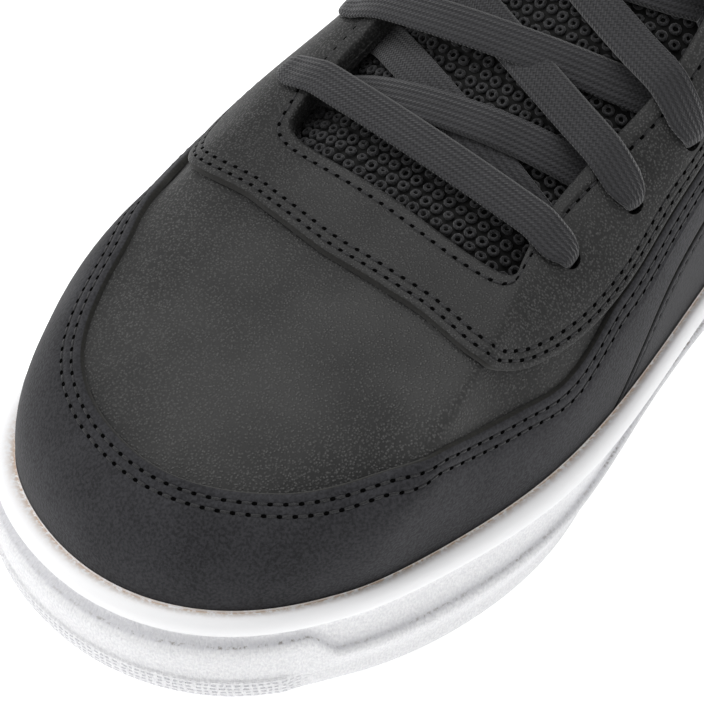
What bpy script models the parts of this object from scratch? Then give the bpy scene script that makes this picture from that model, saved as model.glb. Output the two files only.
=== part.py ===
"""Right motorcycle riding shoe: lasted upper, overlays, tongue and flat laces on a moulded cup sole.

Every length in the tables is in millimetres on the last: x from the heel to the toe, y to the wearer's
left (medial on a right shoe), z up from the floor. Meshes are made in metres around the sole's centre.
A place on the upper is (u, v): u counts table rows from the toe tip along the medial side, round the heel
and back along the lateral side, and v runs from the feather line (0) to the throat or collar edge (1).
"""
from collections import namedtuple

import bmesh
import bpy
import numpy as np

MM = 0.001
GAP = 0.35

UPPER_LENGTH = 304.8
BALL_WIDTH = 100.5
COLLAR_HEIGHT = 137.0
INSTEP_HEIGHT = 82.0

WALL = 2.2
OVERLAY = 1.4
INSOLE_THICKNESS = 4.0
TONGUE_THICKNESS = 4.0

FEATHER_Z = 15.5
FEATHER_TOE_RISE = 3.5
FEATHER_HEEL_RISE = 7.5
SPRING_START_X = 227.0
FEATHER_SPRING_RUN = 76.0
HEEL_RISE_START_X = 182.0
HEEL_RISE_RUN = 136.0

TOE_SPRING = 8.0
TOE_SPRING_RUN = 84.0
ARCH_RISE = 2.0
ARCH_FROM_X = 94.0
ARCH_TO_X = 157.0
LIP_RISE = 10.2
CUP_REACH = 11.0
CUP_CLEARANCE = GAP + OVERLAY + GAP
RIDGE_TOE_SHARE = 0.82
RIDGE_SIDE_SHARE = 0.54
RIDGE_DROP_ROW = 1.72
RIDGE_DROP_ROWS = 0.3
TOE_PLATE_ROW = 1.5
TOE_PLATE_ROWS = 0.15
TOE_PLATE_STEP = 0.9

GROOVE_WIDTH = 3.0
GROOVE_DEPTH = 2.0
GROOVE_PITCH = 12.5
GROOVE_RIM = 11.0
FOREFOOT_GROOVE_X = 172.0
FOREFOOT_GROOVES = 7
HEEL_GROOVE_X = 27.0
HEEL_GROOVES = 5

EYELET_DIAMETER = 4.4
EYELET_SET_BACK = 15.5
EYELET_ROWS = (3.75, 4.5, 5.15, 5.75, 6.3)
LACE_WIDTH = 8.4
LACE_THICKNESS = 1.4
LACE_END = 12.6
LACE_HANG = 3.3
LACE_CREST = 2.6
LACE_BAR_CREST = LACE_CREST + 1.75 * LACE_THICKNESS
LACE_OVER_RISE = 0.74 * LACE_THICKNESS
LACE_LIFT = GAP + OVERLAY + 2 * GAP + LACE_THICKNESS / 2
LACE_EDGE_LIFT = 1.4
LACE_WALL_STEPS = 4
THROAT_ROWS = np.linspace(2.5, 7.0, 91)
LACE_SPAN_SHARES = (0.12, 0.3, 0.5, 0.7, 0.88)

ROLL_REACH = 20.0
ROW_STEP = 0.25
WALL_STEPS = 9
PANEL_STEPS = 4
GUARD_STEPS = 5

Section = namedtuple(
    "Section",
    "name along medial lateral top_along top_medial top_lateral top_z wall lean roll drop")
# Shares of UPPER_LENGTH and of half of BALL_WIDTH in percent; top_z and the wall's handles in millimetres.
SECTIONS = (
    Section("toe_tip", 100.0, 15.6, -15.6, 71.6, 8, -8, 65, 30, 11, 57, 5),
    Section("toe_corner", 97.3, 62, 40, 71.8, 36, 20, 65, 30, 11, 51, 5),
    Section("toe_side", 91.4, 86, 67, 71.4, 75, 48, 64, 30, 11, 39, 5),
    Section("toe_joint", 84.2, 97, 84, 68.3, 72, 56, 66, 29, 11, 22, 5),
    Section("ball", 73.6, 102, 102, 62.0, 67, 56, 72, 29, 9, 16, 6),
    Section("ball_back", 61.7, 88, 99, 54.8, 69, 56, INSTEP_HEIGHT, 30, 7, 14, 10),
    Section("waist", 48.2, 67, 90, 46.2, 62, 58, 102, 36, 4, 13, 15),
    Section("instep", 33.0, 58, 77, 36.0, 60, 62, 134, 40, 4, 6, 30),
    Section("heel_side", 16.2, 64, 70, 18.3, 64, 66, 126, 40, 4, -2, 34),
    Section("heel_corner", 4.7, 46, 49, 5.8, 44, 46, 133, 40, 4, -4, 34),
    Section("heel_back", 1.2, 0, 0, 2.4, 0, 0, COLLAR_HEIGHT, 40, 4, -4, 34),
)
HEEL_ROW = len(SECTIONS) - 1
ROWS = 2 * HEEL_ROW

# How far the sole's lip and its lower edge stand out from the cup's wall on each side.
SoleSection = namedtuple("SoleSection", "name lip_medial lip_lateral low_medial low_lateral")
SOLE_SECTIONS = (
    SoleSection("toe_tip", 3.8, 3.8, 4.6, 4.6),
    SoleSection("toe_corner", 3.4, 4.6, 3.6, 5.0),
    SoleSection("toe_side", 3.2, 4.8, 1.2, 5.0),
    SoleSection("toe_joint", 3.6, 5.0, 1.6, 5.0),
    SoleSection("ball", 3.8, 5.0, -1.4, 5.0),
    SoleSection("ball_back", 2.6, 5.0, -7.0, 4.5),
    SoleSection("waist", 2.2, 4.6, -5.0, 3.0),
    SoleSection("instep", 2.6, 4.2, -2.5, 2.5),
    SoleSection("heel_side", 4.0, 4.4, 1.5, 3.0),
    SoleSection("heel_corner", 4.5, 4.5, 3.0, 3.0),
    SoleSection("heel_back", 4.5, 4.5, 3.0, 3.0),
)

# The sole's side from the cup's mouth down: shares of the lip's and the lower edge's stand-out, a further
# step out, the level that the ring hangs from, and its height over that level.
Ring = namedtuple("Ring", "name lip low step level rise")
SIDE_RINGS = (
    Ring("mouth", 0.12, 0.0, 0.0, "lip", -0.7),
    Ring("crest", 0.50, 0.0, 0.0, "lip", 0.0),
    Ring("shoulder", 0.86, 0.0, 0.0, "lip", -0.9),
    Ring("lip_face", 1.00, 0.0, 0.0, "lip", -2.3),
    Ring("lip_foot", 0.97, 0.0, 0.0, "lip", -4.0),
    Ring("band_top", 0.97, 0.0, -1.4, "lip", -4.8),
    Ring("band_foot", 0.50, 0.5, -0.8, "ridge", 0.9),
    Ring("ridge_top", 0.50, 0.5, 0.8, "ridge", 0.0),
    Ring("ridge_face", 0.40, 0.6, 1.4, "ridge", -1.3),
    Ring("plate_over", 0.10, 0.9, 0.8, "bottom", 7.0),
    Ring("plate_top", 0.05, 0.95, 0.7, "bottom", 6.4),
    Ring("edge", 0.0, 1.0, 0.0, "bottom", 1.3),
    Ring("tread", 0.0, 1.0, -1.8, "bottom", 0.0),
)
PLATE_RINGS = ("plate_top", "edge")

# Panel edges by row: the eyestay down from the throat edge, the guard on each side and the foxing up from
# the feather line.
Panel = namedtuple("Panel", "row eyestay guard_medial guard_lateral foxing")
PANELS = (
    Panel(0.0, 18.6, 36.1, 36.1, 0),
    Panel(1.0, 17.3, 35.6, 39.2, 0),
    Panel(1.5, 16.6, 36.0, 44.5, 0),
    Panel(2.0, 18.4, 38.5, 49.5, 0),
    Panel(2.5, 22.8, 41.2, 50.5, 0),
    Panel(3.0, 28.4, 38.6, 46.5, 0),
    Panel(3.5, 33.9, 35.2, 44.0, 0),
    Panel(4.0, 35.3, 34.0, 41.5, 0),
    Panel(4.5, 32.0, 44.5, 44.5, 7),
    Panel(5.0, 26.0, 60.0, 60.0, 28),
    Panel(5.5, 24.5, 70.0, 70.0, 36),
    Panel(6.0, 24.0, 80.0, 80.0, 42),
    Panel(6.5, 24.0, 90.0, 90.0, 52),
    Panel(7.0, 24.0, 95.0, 95.0, 58),
    Panel(8.0, 24.0, 95.0, 95.0, 58),
    Panel(10.0, 24.0, 95.0, 95.0, 62),
)
EYESTAY_ROWS = 6.75
GUARD_ROWS = 6.0
FOXING_ROW = 4.5
EDGE_INSET = 0.5
PANEL_SEAM = 0.5

# Tongue: depth of its sides and level of its crown from the throat's edges, and margin under each side.
TONGUE_DEPTH = 5.8
TONGUE_CREST = -1.6
TONGUE_MARGIN = 7.0
TONGUE_FIRST_ROW = 3.0
TONGUE_LAST_ROW = 7.0
TongueEnd = namedtuple("TongueEnd", "forward drop narrow")
TONGUE_TOE_END = (TongueEnd(17.0, 2.4, 0.8), TongueEnd(8.0, 1.6, 0.95))
TONGUE_TOP_END = (TongueEnd(-10.0, -9.0, 0.95), TongueEnd(-18.0, -17.0, 0.75))
TONGUE_ACROSS = 6


def closed_spline(values, u):
    """Smooth closed curve through one row of values per whole u."""
    count = len(values)
    identity = np.eye(count)
    matrix = 4 * identity + np.roll(identity, 1, 0) + np.roll(identity, -1, 0)
    bend = np.linalg.solve(matrix, 6 * (np.roll(values, -1, 0) - 2 * values + np.roll(values, 1, 0)))
    u = np.mod(u, count)
    low = np.floor(u).astype(int) % count
    high = (low + 1) % count
    b = (u - np.floor(u))[:, None]
    a = 1 - b
    curve = (a ** 3 - a) * bend[low] + (b ** 3 - b) * bend[high]
    return a * values[low] + b * values[high] + curve / 6


def last_rows():
    """Numbers of each section around the last: foot x, y, top x, y, z and the four handles."""
    half = BALL_WIDTH / 2
    rows = []
    for side, sections in ((1, SECTIONS), (-1, SECTIONS[-2:0:-1])):
        for s in sections:
            foot_y = s.medial if side > 0 else -s.lateral
            top_y = s.top_medial if side > 0 else -s.top_lateral
            rows.append((s.along * UPPER_LENGTH / 100, foot_y * half / 100,
                         s.top_along * UPPER_LENGTH / 100, top_y * half / 100, s.top_z,
                         s.wall, s.lean, s.roll, s.drop))
    return np.array(rows, float)


def sole_rows():
    """Stand-out of the lip and of the lower edge for each section around the sole."""
    rows = [(s.lip_medial, s.low_medial) for s in SOLE_SECTIONS]
    rows += [(s.lip_lateral, s.low_lateral) for s in SOLE_SECTIONS[-2:0:-1]]
    return np.array(rows, float)


LAST = last_rows()
SOLE = sole_rows()


def smooth(share):
    """Ease from 0 to 1."""
    share = np.clip(share, 0, 1)
    return share * share * (3 - 2 * share)


def floor_z(x):
    """Level of the cup's floor, with the toe spring and the raised heel."""
    toe = np.clip((x - SPRING_START_X) / FEATHER_SPRING_RUN, 0, None) ** 2
    heel = smooth((HEEL_RISE_START_X - x) / HEEL_RISE_RUN)
    return FEATHER_Z + FEATHER_TOE_RISE * toe + FEATHER_HEEL_RISE * heel


def bottom_z(x):
    """Level of the tread: flat under the ball and the heel, raised at the toe and the arch."""
    toe = np.clip((x - SPRING_START_X) / TOE_SPRING_RUN, 0, None) ** 2
    arch = np.clip((x - ARCH_FROM_X) / (ARCH_TO_X - ARCH_FROM_X), 0, 1)
    return TOE_SPRING * toe + ARCH_RISE * np.sin(np.pi * arch) ** 2


def way_out(row, ahead):
    """Unit normals of a plan curve that runs with the medial side on its right hand."""
    along = ahead - row
    along /= np.linalg.norm(along, axis=1)[:, None]
    return np.column_stack([along[:, 1], -along[:, 0], np.zeros(len(along))])


def foot_line(u):
    """Table row, feather line and the ways out in plan from the feather line and from the top edge."""
    row = closed_spline(LAST, u)
    ahead = closed_spline(LAST, u + 0.001)
    foot = np.column_stack([row[:, 0], row[:, 1], floor_z(row[:, 0]) + GAP])
    return row, foot, way_out(row[:, :2], ahead[:, :2]), way_out(row[:, 2:4], ahead[:, 2:4])


def surface(u, v):
    """Outer face of the upper: one wall curve for each u, read at each column of v."""
    row, foot, out, top_out = foot_line(u)
    top = row[:, 2:5]
    reach = (foot - top) / ROLL_REACH * np.array([1.0, 1.0, 0.0]) + top_out
    reach /= np.linalg.norm(reach, axis=1)[:, None]
    wall = foot + out * row[:, 6:7]
    wall[:, 2] += row[:, 5]
    roll = top + reach * row[:, 7:8]
    roll[:, 2] -= row[:, 8]
    foot, wall, roll, top = (p[:, None, :] for p in (foot, wall, roll, top))
    v = np.broadcast_to(v, (len(u), np.shape(v)[-1]))[..., None]
    w = 1 - v
    return w ** 3 * foot + 3 * w * w * v * wall + 3 * w * v * v * roll + v ** 3 * top


def normals(u, v):
    """Outward unit normals of the upper at the same grid as surface()."""
    step = 0.002
    v = np.broadcast_to(v, (len(u), np.shape(v)[-1]))
    along = surface(u + step, v) - surface(u - step, v)
    up = surface(u, np.minimum(v + step, 1)) - surface(u, np.maximum(v - step, 0))
    cross = np.cross(along, up)
    return cross / np.linalg.norm(cross, axis=2)[..., None]


def arc_v(u, distance, from_top):
    """The v at a distance along the wall from its top or foot edge."""
    fine = np.linspace(0, 1, 81)
    lengths = np.linalg.norm(np.diff(surface(u, fine), axis=1), axis=2)
    up = np.concatenate([np.zeros((len(u), 1)), np.cumsum(lengths, axis=1)], axis=1)
    wanted = up[:, -1] - distance if from_top else np.broadcast_to(distance, len(u))
    return np.array([np.interp(w, row, fine) for w, row in zip(wanted, up)])


def panel_edge(u, column):
    """A column of the panel table at each u, the same on both sides of the shoe."""
    folded = np.abs(np.mod(u + HEEL_ROW, ROWS) - HEEL_ROW)
    return np.interp(folded, [p.row for p in PANELS], [getattr(p, column) for p in PANELS])


def guard_edge(u):
    """Upper edge of the toe guard at each u, from its own column on each side."""
    return np.where(u >= 0, panel_edge(u, "guard_medial"), panel_edge(u, "guard_lateral"))


def on_wall(u, distance, lift):
    """Points at a distance below the throat edge, lifted off the wall's outer face."""
    u = np.atleast_1d(np.asarray(u, float))
    v = arc_v(u, distance, True)[:, None]
    return (surface(u, v) + lift * normals(u, v))[:, 0]


def sole_rings(u):
    """Rings of the sole from the edge of the cup's floor over the lip and down the side to the tread."""
    row, foot, out, top_out = foot_line(u)
    stand = closed_spline(SOLE, u)
    floor = floor_z(row[:, 0])
    rings = []
    for reach in (0.0, CUP_REACH / 2, CUP_REACH):
        v = arc_v(u, reach, False)[:, None]
        ring = surface(u, v)[:, 0] + CUP_CLEARANCE * out
        ring[:, 2] -= GAP
        rings.append(ring)
    cup = rings[-1]
    folded = np.abs(np.mod(u + HEEL_ROW, ROWS) - HEEL_ROW)
    drop = smooth((folded - RIDGE_DROP_ROW) / RIDGE_DROP_ROWS)
    share = RIDGE_TOE_SHARE + (RIDGE_SIDE_SHARE - RIDGE_TOE_SHARE) * drop
    plate = TOE_PLATE_STEP * (1 - smooth((folded - TOE_PLATE_ROW) / TOE_PLATE_ROWS))
    for r in SIDE_RINGS:
        step = r.lip * stand[:, 0] + r.low * stand[:, 1] + r.step
        if r.name in PLATE_RINGS:
            step = step + plate
        ring = cup + step[:, None] * out
        bottom = bottom_z(ring[:, 0])
        lip = floor + LIP_RISE
        ridge = bottom + share * (lip + SIDE_RINGS[4].rise - bottom)
        ring[:, 2] = {"lip": lip, "ridge": ridge, "bottom": bottom}[r.level] + r.rise
        rings.append(ring)
    return rings


def whole_loop():
    """Rows around the whole shoe, in pairs mirrored about the toe tip and the heel."""
    return np.arange(0, ROWS, ROW_STEP)


def plan_centre():
    """Middle of the sole's plan, where the part has its origin."""
    points = np.vstack(sole_rings(whole_loop()))
    low, high = points.min(axis=0), points.max(axis=0)
    return np.array([(low[0] + high[0]) / 2, (low[1] + high[1]) / 2, 0.0])


CENTRE = plan_centre()


def material(name, colour, roughness):
    """Plain material in the piece's colour."""
    made = bpy.data.materials.new(name)
    made.use_nodes = True
    shader = made.node_tree.nodes["Principled BSDF"]
    shader.inputs["Base Color"].default_value = (*colour, 1.0)
    shader.inputs["Roughness"].default_value = roughness
    shader.inputs["Metallic"].default_value = 0.0
    return made


def add_object(name, points, faces, collection, finish=None):
    """Mesh object from points on the last and faces, moved to the part's origin in metres."""
    mesh = bpy.data.meshes.new(name)
    mesh.from_pydata(((np.asarray(points) - CENTRE) * MM).tolist(), [], faces)
    mesh.shade_smooth()
    mesh.set_sharp_from_angle(angle=np.radians(35))
    if finish:
        mesh.materials.append(finish)
    made = bpy.data.objects.new(name, mesh)
    collection.objects.link(made)
    return made


def grid_faces(rows, columns, closed):
    """Quads of a grid that is stored row by row, closed or open along the rows."""
    faces = []
    for i in range(rows if closed else rows - 1):
        j = (i + 1) % rows
        for k in range(columns - 1):
            faces.append((i * columns + k, j * columns + k, j * columns + k + 1, i * columns + k + 1))
    return faces


def bridge_faces(loop, upward):
    """Quads across a loop that is mirrored about its first and its middle point."""
    count = len(loop)
    faces = [(loop[0], loop[1], loop[-1])]
    for i in range(1, count // 2 - 1):
        faces.append((loop[i], loop[i + 1], loop[count - i - 1], loop[count - i]))
    middle = count // 2
    faces.append((loop[middle - 1], loop[middle], loop[middle + 1]))
    return faces if upward else [face[::-1] for face in faces]


def solidify(target, thickness, offset):
    """Give an open surface its thickness, inward (-1) or outward (1)."""
    modifier = target.modifiers.new("Thickness", "SOLIDIFY")
    modifier.thickness = thickness * MM
    modifier.offset = offset


def boolean(target, cutter, operation):
    """Cut or join a piece with a hidden cutter."""
    cutter.hide_render = True
    cutter.display_type = "WIRE"
    modifier = target.modifiers.new("Cut", "BOOLEAN")
    modifier.operation = operation
    modifier.solver = "EXACT"
    modifier.object = cutter


def make_sole(parts, cutters):
    """Cup sole: floor of the cup, lip, stepped side and tread with its grooves."""
    u = whole_loop()
    rings = sole_rings(u)
    points = np.vstack(rings)
    count = len(u)
    faces = []
    for k in range(len(rings) - 1):
        for i in range(count):
            j = (i + 1) % count
            faces.append((k * count + i, (k + 1) * count + i, (k + 1) * count + j, k * count + j))
    tread = [(len(rings) - 1) * count + i for i in range(count)]
    faces += bridge_faces(list(range(count)), True)
    faces += bridge_faces(tread, False)
    sole = add_object("sole", points, faces, parts, material("white_rubber", (0.82, 0.82, 0.83), 0.5))
    boolean(sole, make_grooves(cutters, rings[-1]), "DIFFERENCE")


def make_grooves(cutters, tread):
    """Bars that cut the main grooves between the lugs, clear of the tread's rim."""
    builder = bmesh.new()
    half = len(tread) // 2
    medial, lateral = tread[:half + 1], np.vstack([tread[half:], tread[:1]])
    starts = [FOREFOOT_GROOVE_X + GROOVE_PITCH * i for i in range(FOREFOOT_GROOVES)]
    starts += [HEEL_GROOVE_X + GROOVE_PITCH * i for i in range(HEEL_GROOVES)]
    for x in starts:
        right = np.interp(-x, -medial[:, 0], medial[:, 1]) - GROOVE_RIM
        left = np.interp(x, lateral[:, 0], lateral[:, 1]) + GROOVE_RIM
        bar = bmesh.ops.create_cube(builder, size=1.0)["verts"]
        size = (GROOVE_WIDTH * MM, (right - left) * MM, 2 * GROOVE_DEPTH * MM)
        bmesh.ops.scale(builder, vec=size, verts=bar)
        place = (np.array([x, (left + right) / 2, bottom_z(x)]) - CENTRE) * MM
        bmesh.ops.translate(builder, vec=place.tolist(), verts=bar)
    mesh = bpy.data.meshes.new("tread_grooves")
    builder.to_mesh(mesh)
    builder.free()
    cutter = bpy.data.objects.new("tread_grooves", mesh)
    cutters.objects.link(cutter)
    return cutter


def make_eyelet_cutter(cutters):
    """Round punches for the lace holes, square to the wall."""
    builder = bmesh.new()
    rows = np.array(EYELET_ROWS)
    rows = np.concatenate([rows, ROWS - rows])
    low = on_wall(rows, EYELET_SET_BACK, -3 * WALL)
    high = on_wall(rows, EYELET_SET_BACK, 3 * WALL)
    for start, end in zip((low - CENTRE) * MM, (high - CENTRE) * MM):
        axis = end - start
        punch = bmesh.ops.create_cone(
            builder, cap_ends=True, segments=8, radius1=EYELET_DIAMETER / 2 * MM,
            radius2=EYELET_DIAMETER / 2 * MM, depth=np.linalg.norm(axis))["verts"]
        across = np.cross(axis, (1.0, 0.0, 0.0))
        across /= np.linalg.norm(across)
        axis = axis / np.linalg.norm(axis)
        turn = np.column_stack([np.cross(across, axis), across, axis])
        for vertex in punch:
            vertex.co = turn @ np.array(vertex.co) + (start + end) / 2
    mesh = bpy.data.meshes.new("lace_holes")
    builder.to_mesh(mesh)
    builder.free()
    cutter = bpy.data.objects.new("lace_holes", mesh)
    cutters.objects.link(cutter)
    return cutter


def make_upper(parts, punches):
    """Lasted shell, one wall around the foot, open at the throat, the collar and underneath."""
    u = whole_loop()
    points = surface(u, np.linspace(0, 1, WALL_STEPS + 1)).reshape(-1, 3)
    faces = grid_faces(len(u), WALL_STEPS + 1, True)
    upper = add_object("upper", points, faces, parts, material("black_leather", (0.045, 0.045, 0.047), 0.55))
    solidify(upper, WALL, -1)
    boolean(upper, punches, "DIFFERENCE")


def make_overlay(name, u, low, high, steps, finish, parts):
    """Panel between two lines of v on the upper, standing off its wall by the gap."""
    share = np.linspace(0, 1, steps + 1)
    v = low[:, None] + (high - low)[:, None] * share
    points = (surface(u, v) + GAP * normals(u, v)).reshape(-1, 3)
    overlay = add_object(name, points, grid_faces(len(u), steps + 1, False), parts, finish)
    solidify(overlay, OVERLAY, 1)
    return overlay


def make_overlays(parts, punches):
    """Eyestay, toe guard and foxing, cut from the upper's own form and a seam apart."""
    u = np.arange(-EYESTAY_ROWS, EYESTAY_ROWS + ROW_STEP / 2, ROW_STEP)
    low = arc_v(u, panel_edge(u, "eyestay"), True)
    high = arc_v(u, EDGE_INSET, True)
    leather = material("eyestay_leather", (0.05, 0.05, 0.052), 0.55)
    nubuck = material("black_nubuck", (0.032, 0.032, 0.036), 0.8)
    eyestay = make_overlay("eyestay", u, low, high, PANEL_STEPS, leather, parts)
    boolean(eyestay, punches, "DIFFERENCE")

    u = np.arange(-GUARD_ROWS, GUARD_ROWS + ROW_STEP / 2, ROW_STEP)
    under_eyestay = arc_v(u, panel_edge(u, "eyestay") + PANEL_SEAM, True)
    high = np.minimum(arc_v(u, guard_edge(u), False), under_eyestay)
    over_foxing = np.where(np.abs(u) >= FOXING_ROW, panel_edge(u, "foxing") + PANEL_SEAM, EDGE_INSET)
    low = arc_v(u, over_foxing, False)
    make_overlay("toe_guard", u, low, high, GUARD_STEPS, nubuck, parts)

    u = np.arange(FOXING_ROW, ROWS - FOXING_ROW + ROW_STEP / 2, ROW_STEP)
    low = arc_v(u, EDGE_INSET, False)
    high = arc_v(u, panel_edge(u, "foxing"), False)
    make_overlay("foxing", u, low, high, PANEL_STEPS, nubuck, parts)


def make_insole(parts):
    """Footbed on the cup's floor, inside the upper."""
    u = whole_loop()
    row, foot, out, top_out = foot_line(u)
    edge = foot - out * (WALL + GAP)
    edge[:, 2] = floor_z(edge[:, 0]) + GAP
    faces = bridge_faces(list(range(len(u))), True)
    insole = add_object("insole", edge, faces, parts, material("insole_foam", (0.05, 0.05, 0.055), 0.9))
    solidify(insole, INSOLE_THICKNESS, 1)


def throat_up(lateral_row, medial_row):
    """Way out of the throat, square to the line between its two edges."""
    sides = np.array([lateral_row, medial_row])
    up = (on_wall(sides, 0.0, 1.0) - on_wall(sides, 0.0, 0.0)).sum(axis=0)
    up[1] = 0.0
    return up / np.linalg.norm(up)


def throat_middle(one_row, other_row, crest):
    """Middle of the throat between two rows, a crest above the plane of its edges."""
    rows = np.array([-one_row, one_row, -other_row, other_row])
    return on_wall(rows, 0.0, 0.0).mean(axis=0) + crest * throat_up(one_row, other_row)


def tongue_row(row):
    """Points across the tongue's outer face under one pair of throat edges."""
    sides = np.array([row, -row])
    margin = on_wall(sides, TONGUE_MARGIN, -TONGUE_DEPTH)
    edge = on_wall(sides, 0.0, -TONGUE_DEPTH)
    share = np.linspace(-1, 1, TONGUE_ACROSS + 1)[1:-1]
    share = share[:, None]
    span = edge[0] + (edge[1] - edge[0]) * (share + 1) / 2
    span += (TONGUE_DEPTH + TONGUE_CREST) * (1 - share ** 2) * throat_up(-row, row)
    return np.vstack([margin[:1], edge[:1], span, edge[1:], margin[1:]])


def shifted_row(points, end):
    """A row of the tongue moved on past the throat's end, and narrowed about its middle."""
    middle = points.mean(axis=0)
    moved = middle + (points - middle) * np.array([1.0, end.narrow, end.narrow])
    return moved + np.array([end.forward, 0.0, -end.drop])


def make_tongue(parts):
    """Padded tongue under the throat, from under the vamp to above the collar's front."""
    rows = np.arange(TONGUE_FIRST_ROW, TONGUE_LAST_ROW + ROW_STEP, 2 * ROW_STEP)
    body = [tongue_row(row) for row in rows]
    sections = [shifted_row(body[0], end) for end in TONGUE_TOE_END] + body
    sections += [shifted_row(body[-1], end) for end in TONGUE_TOP_END]
    points = np.vstack(sections)
    faces = grid_faces(len(sections), len(sections[0]), False)
    tongue = add_object("tongue", points, faces, parts, material("spacer_mesh", (0.02, 0.02, 0.022), 0.9))
    solidify(tongue, TONGUE_THICKNESS, -1)


def crossing_row(row, other_row):
    """Row where the straight line between two lace holes passes the throat edge on the first one's side."""
    start, end = on_wall([row, other_row], EYELET_SET_BACK, 0.0)
    rows = np.copysign(THROAT_ROWS, row)
    away = on_wall(rows, 0.0, 0.0) - start
    run = end - start
    beside = away[:, 0] * run[1] - away[:, 1] * run[0]
    order = np.argsort(beside)
    return np.interp(0.0, beside[order], rows[order])


def lace_end(row, other_row, outside):
    """Places and normals of a lace at one side: over the eyestay from its hole, or under the edge."""
    distances = np.linspace(LACE_END, 0.0, LACE_WALL_STEPS + 1) if outside else np.zeros(1)
    lifts = LACE_LIFT + LACE_EDGE_LIFT * (1 - distances / LACE_END) if outside else np.array([-LACE_HANG])
    edge_row = crossing_row(row, other_row)
    rows = edge_row + (row - edge_row) * distances / EYELET_SET_BACK
    stops = list(zip(rows, distances, lifts))
    places = np.array([on_wall(u, distance, lift)[0] for u, distance, lift in stops])
    tops = np.array([on_wall(u, distance, lift + 1.0)[0] for u, distance, lift in stops])
    return places, tops - places


def lace_strand(start_row, end_row, start_outside, end_outside, crest):
    """Middle line and normals of one lace from side to side, arched over the tongue to its crest."""
    start, start_up = lace_end(start_row, end_row, start_outside)
    end, end_up = lace_end(end_row, start_row, end_outside)
    share = np.array(LACE_SPAN_SHARES)[:, None]
    span = start[-1] + (end[-1] - start[-1]) * share
    span_up = start_up[-1] + (end_up[-1] - start_up[-1]) * share
    middle = (start[-1] + end[-1]) / 2
    edge_rows = crossing_row(start_row, end_row), crossing_row(end_row, start_row)
    span += 4 * share * (1 - share) * (throat_middle(*edge_rows, crest) - middle)
    kept = slice(None) if start_outside else slice(0)
    path = [start[kept], span]
    ups = [start_up[kept], span_up]
    if end_outside:
        path.append(end[::-1])
        ups.append(end_up[::-1])
    return np.vstack(path), np.vstack(ups)


def add_ribbon(name, strand, collection, finish=None):
    """Flat lace of constant width along its middle line."""
    path, up = strand
    ahead = np.gradient(path, axis=0)
    across = np.cross(up, ahead)
    across /= np.linalg.norm(across, axis=1)[:, None]
    up = np.cross(ahead, across)
    up /= np.linalg.norm(up, axis=1)[:, None]
    half, thick = across * LACE_WIDTH / 2, up * LACE_THICKNESS / 2
    low, high = path - thick, path + thick
    corners = np.stack([low - half, low + half, high + half, high - half], axis=1)
    count = len(path)
    faces = [(3, 2, 1, 0), tuple(4 * (count - 1) + k for k in range(4))]
    for i in range(count - 1):
        for k in range(4):
            j = (k + 1) % 4
            faces.append((4 * i + k, 4 * i + j, 4 * (i + 1) + j, 4 * (i + 1) + k))
    return add_object(name, corners.reshape(-1, 3), faces, collection, finish)


def make_laces(parts, cutters):
    """The straight bar at the lowest holes and the crossings above it, each crossing one joined solid."""
    cloth = material("lace_cloth", (0.04, 0.04, 0.043), 0.85)
    first = EYELET_ROWS[0]
    add_ribbon("lace_bar", lace_strand(-first, first, True, True, LACE_BAR_CREST), parts, cloth)
    for number, (low, high) in enumerate(zip(EYELET_ROWS[:-1], EYELET_ROWS[1:]), start=1):
        outside = number > 1
        over = lace_strand(-low, high, outside, False, LACE_CREST + LACE_OVER_RISE)
        under = lace_strand(low, -high, outside, False, LACE_CREST)
        cross = add_ribbon("lace_cross_%d" % number, over, parts, cloth)
        boolean(cross, add_ribbon("lace_under_%d" % number, under, cutters), "UNION")


def main():
    for old in list(bpy.data.objects):
        bpy.data.objects.remove(old)
    parts = bpy.data.collections.new("riding_shoe")
    cutters = bpy.data.collections.new("cutters")
    for collection in (parts, cutters):
        bpy.context.scene.collection.children.link(collection)
    punches = make_eyelet_cutter(cutters)
    make_sole(parts, cutters)
    make_insole(parts)
    make_upper(parts, punches)
    make_overlays(parts, punches)
    make_tongue(parts)
    make_laces(parts, cutters)


main()
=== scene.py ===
"""Looks of the right motorcycle riding shoe: leather, nubuck, spacer mesh, woven laces and moulded rubber.

Lengths are in millimetres on the last, as in the part's own source: x from the heel to the toe, y to the
wearer's left (medial), z up. A place on the upper is (u, distance): u counts table rows from the toe tip
along the medial side, round the heel and back, and distance runs up the wall from the feather line.
"""
from collections import namedtuple

import bpy
import numpy as np
from mathutils import Matrix, Vector, noise


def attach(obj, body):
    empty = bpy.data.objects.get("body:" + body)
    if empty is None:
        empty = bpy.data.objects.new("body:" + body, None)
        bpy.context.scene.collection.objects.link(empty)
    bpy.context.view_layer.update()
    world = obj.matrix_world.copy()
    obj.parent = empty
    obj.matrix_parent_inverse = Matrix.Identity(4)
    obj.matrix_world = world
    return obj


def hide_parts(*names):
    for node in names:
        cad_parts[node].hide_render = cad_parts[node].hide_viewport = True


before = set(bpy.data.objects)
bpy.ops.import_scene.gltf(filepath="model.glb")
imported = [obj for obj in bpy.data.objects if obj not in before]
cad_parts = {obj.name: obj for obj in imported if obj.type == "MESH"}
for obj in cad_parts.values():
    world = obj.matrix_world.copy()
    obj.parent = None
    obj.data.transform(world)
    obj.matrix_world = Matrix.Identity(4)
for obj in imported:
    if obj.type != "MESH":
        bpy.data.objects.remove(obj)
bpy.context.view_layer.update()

MM = 0.001
GAP = 0.35
LAST_ORIGIN = np.array([155.319, -1.204, 0.0])

UPPER_LENGTH = 304.8
BALL_WIDTH = 100.5
COLLAR_HEIGHT = 137.0
INSTEP_HEIGHT = 82.0
WALL = 2.2
OVERLAY = 1.4
PANEL_TOP = GAP + OVERLAY
ROLL_REACH = 20.0

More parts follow.
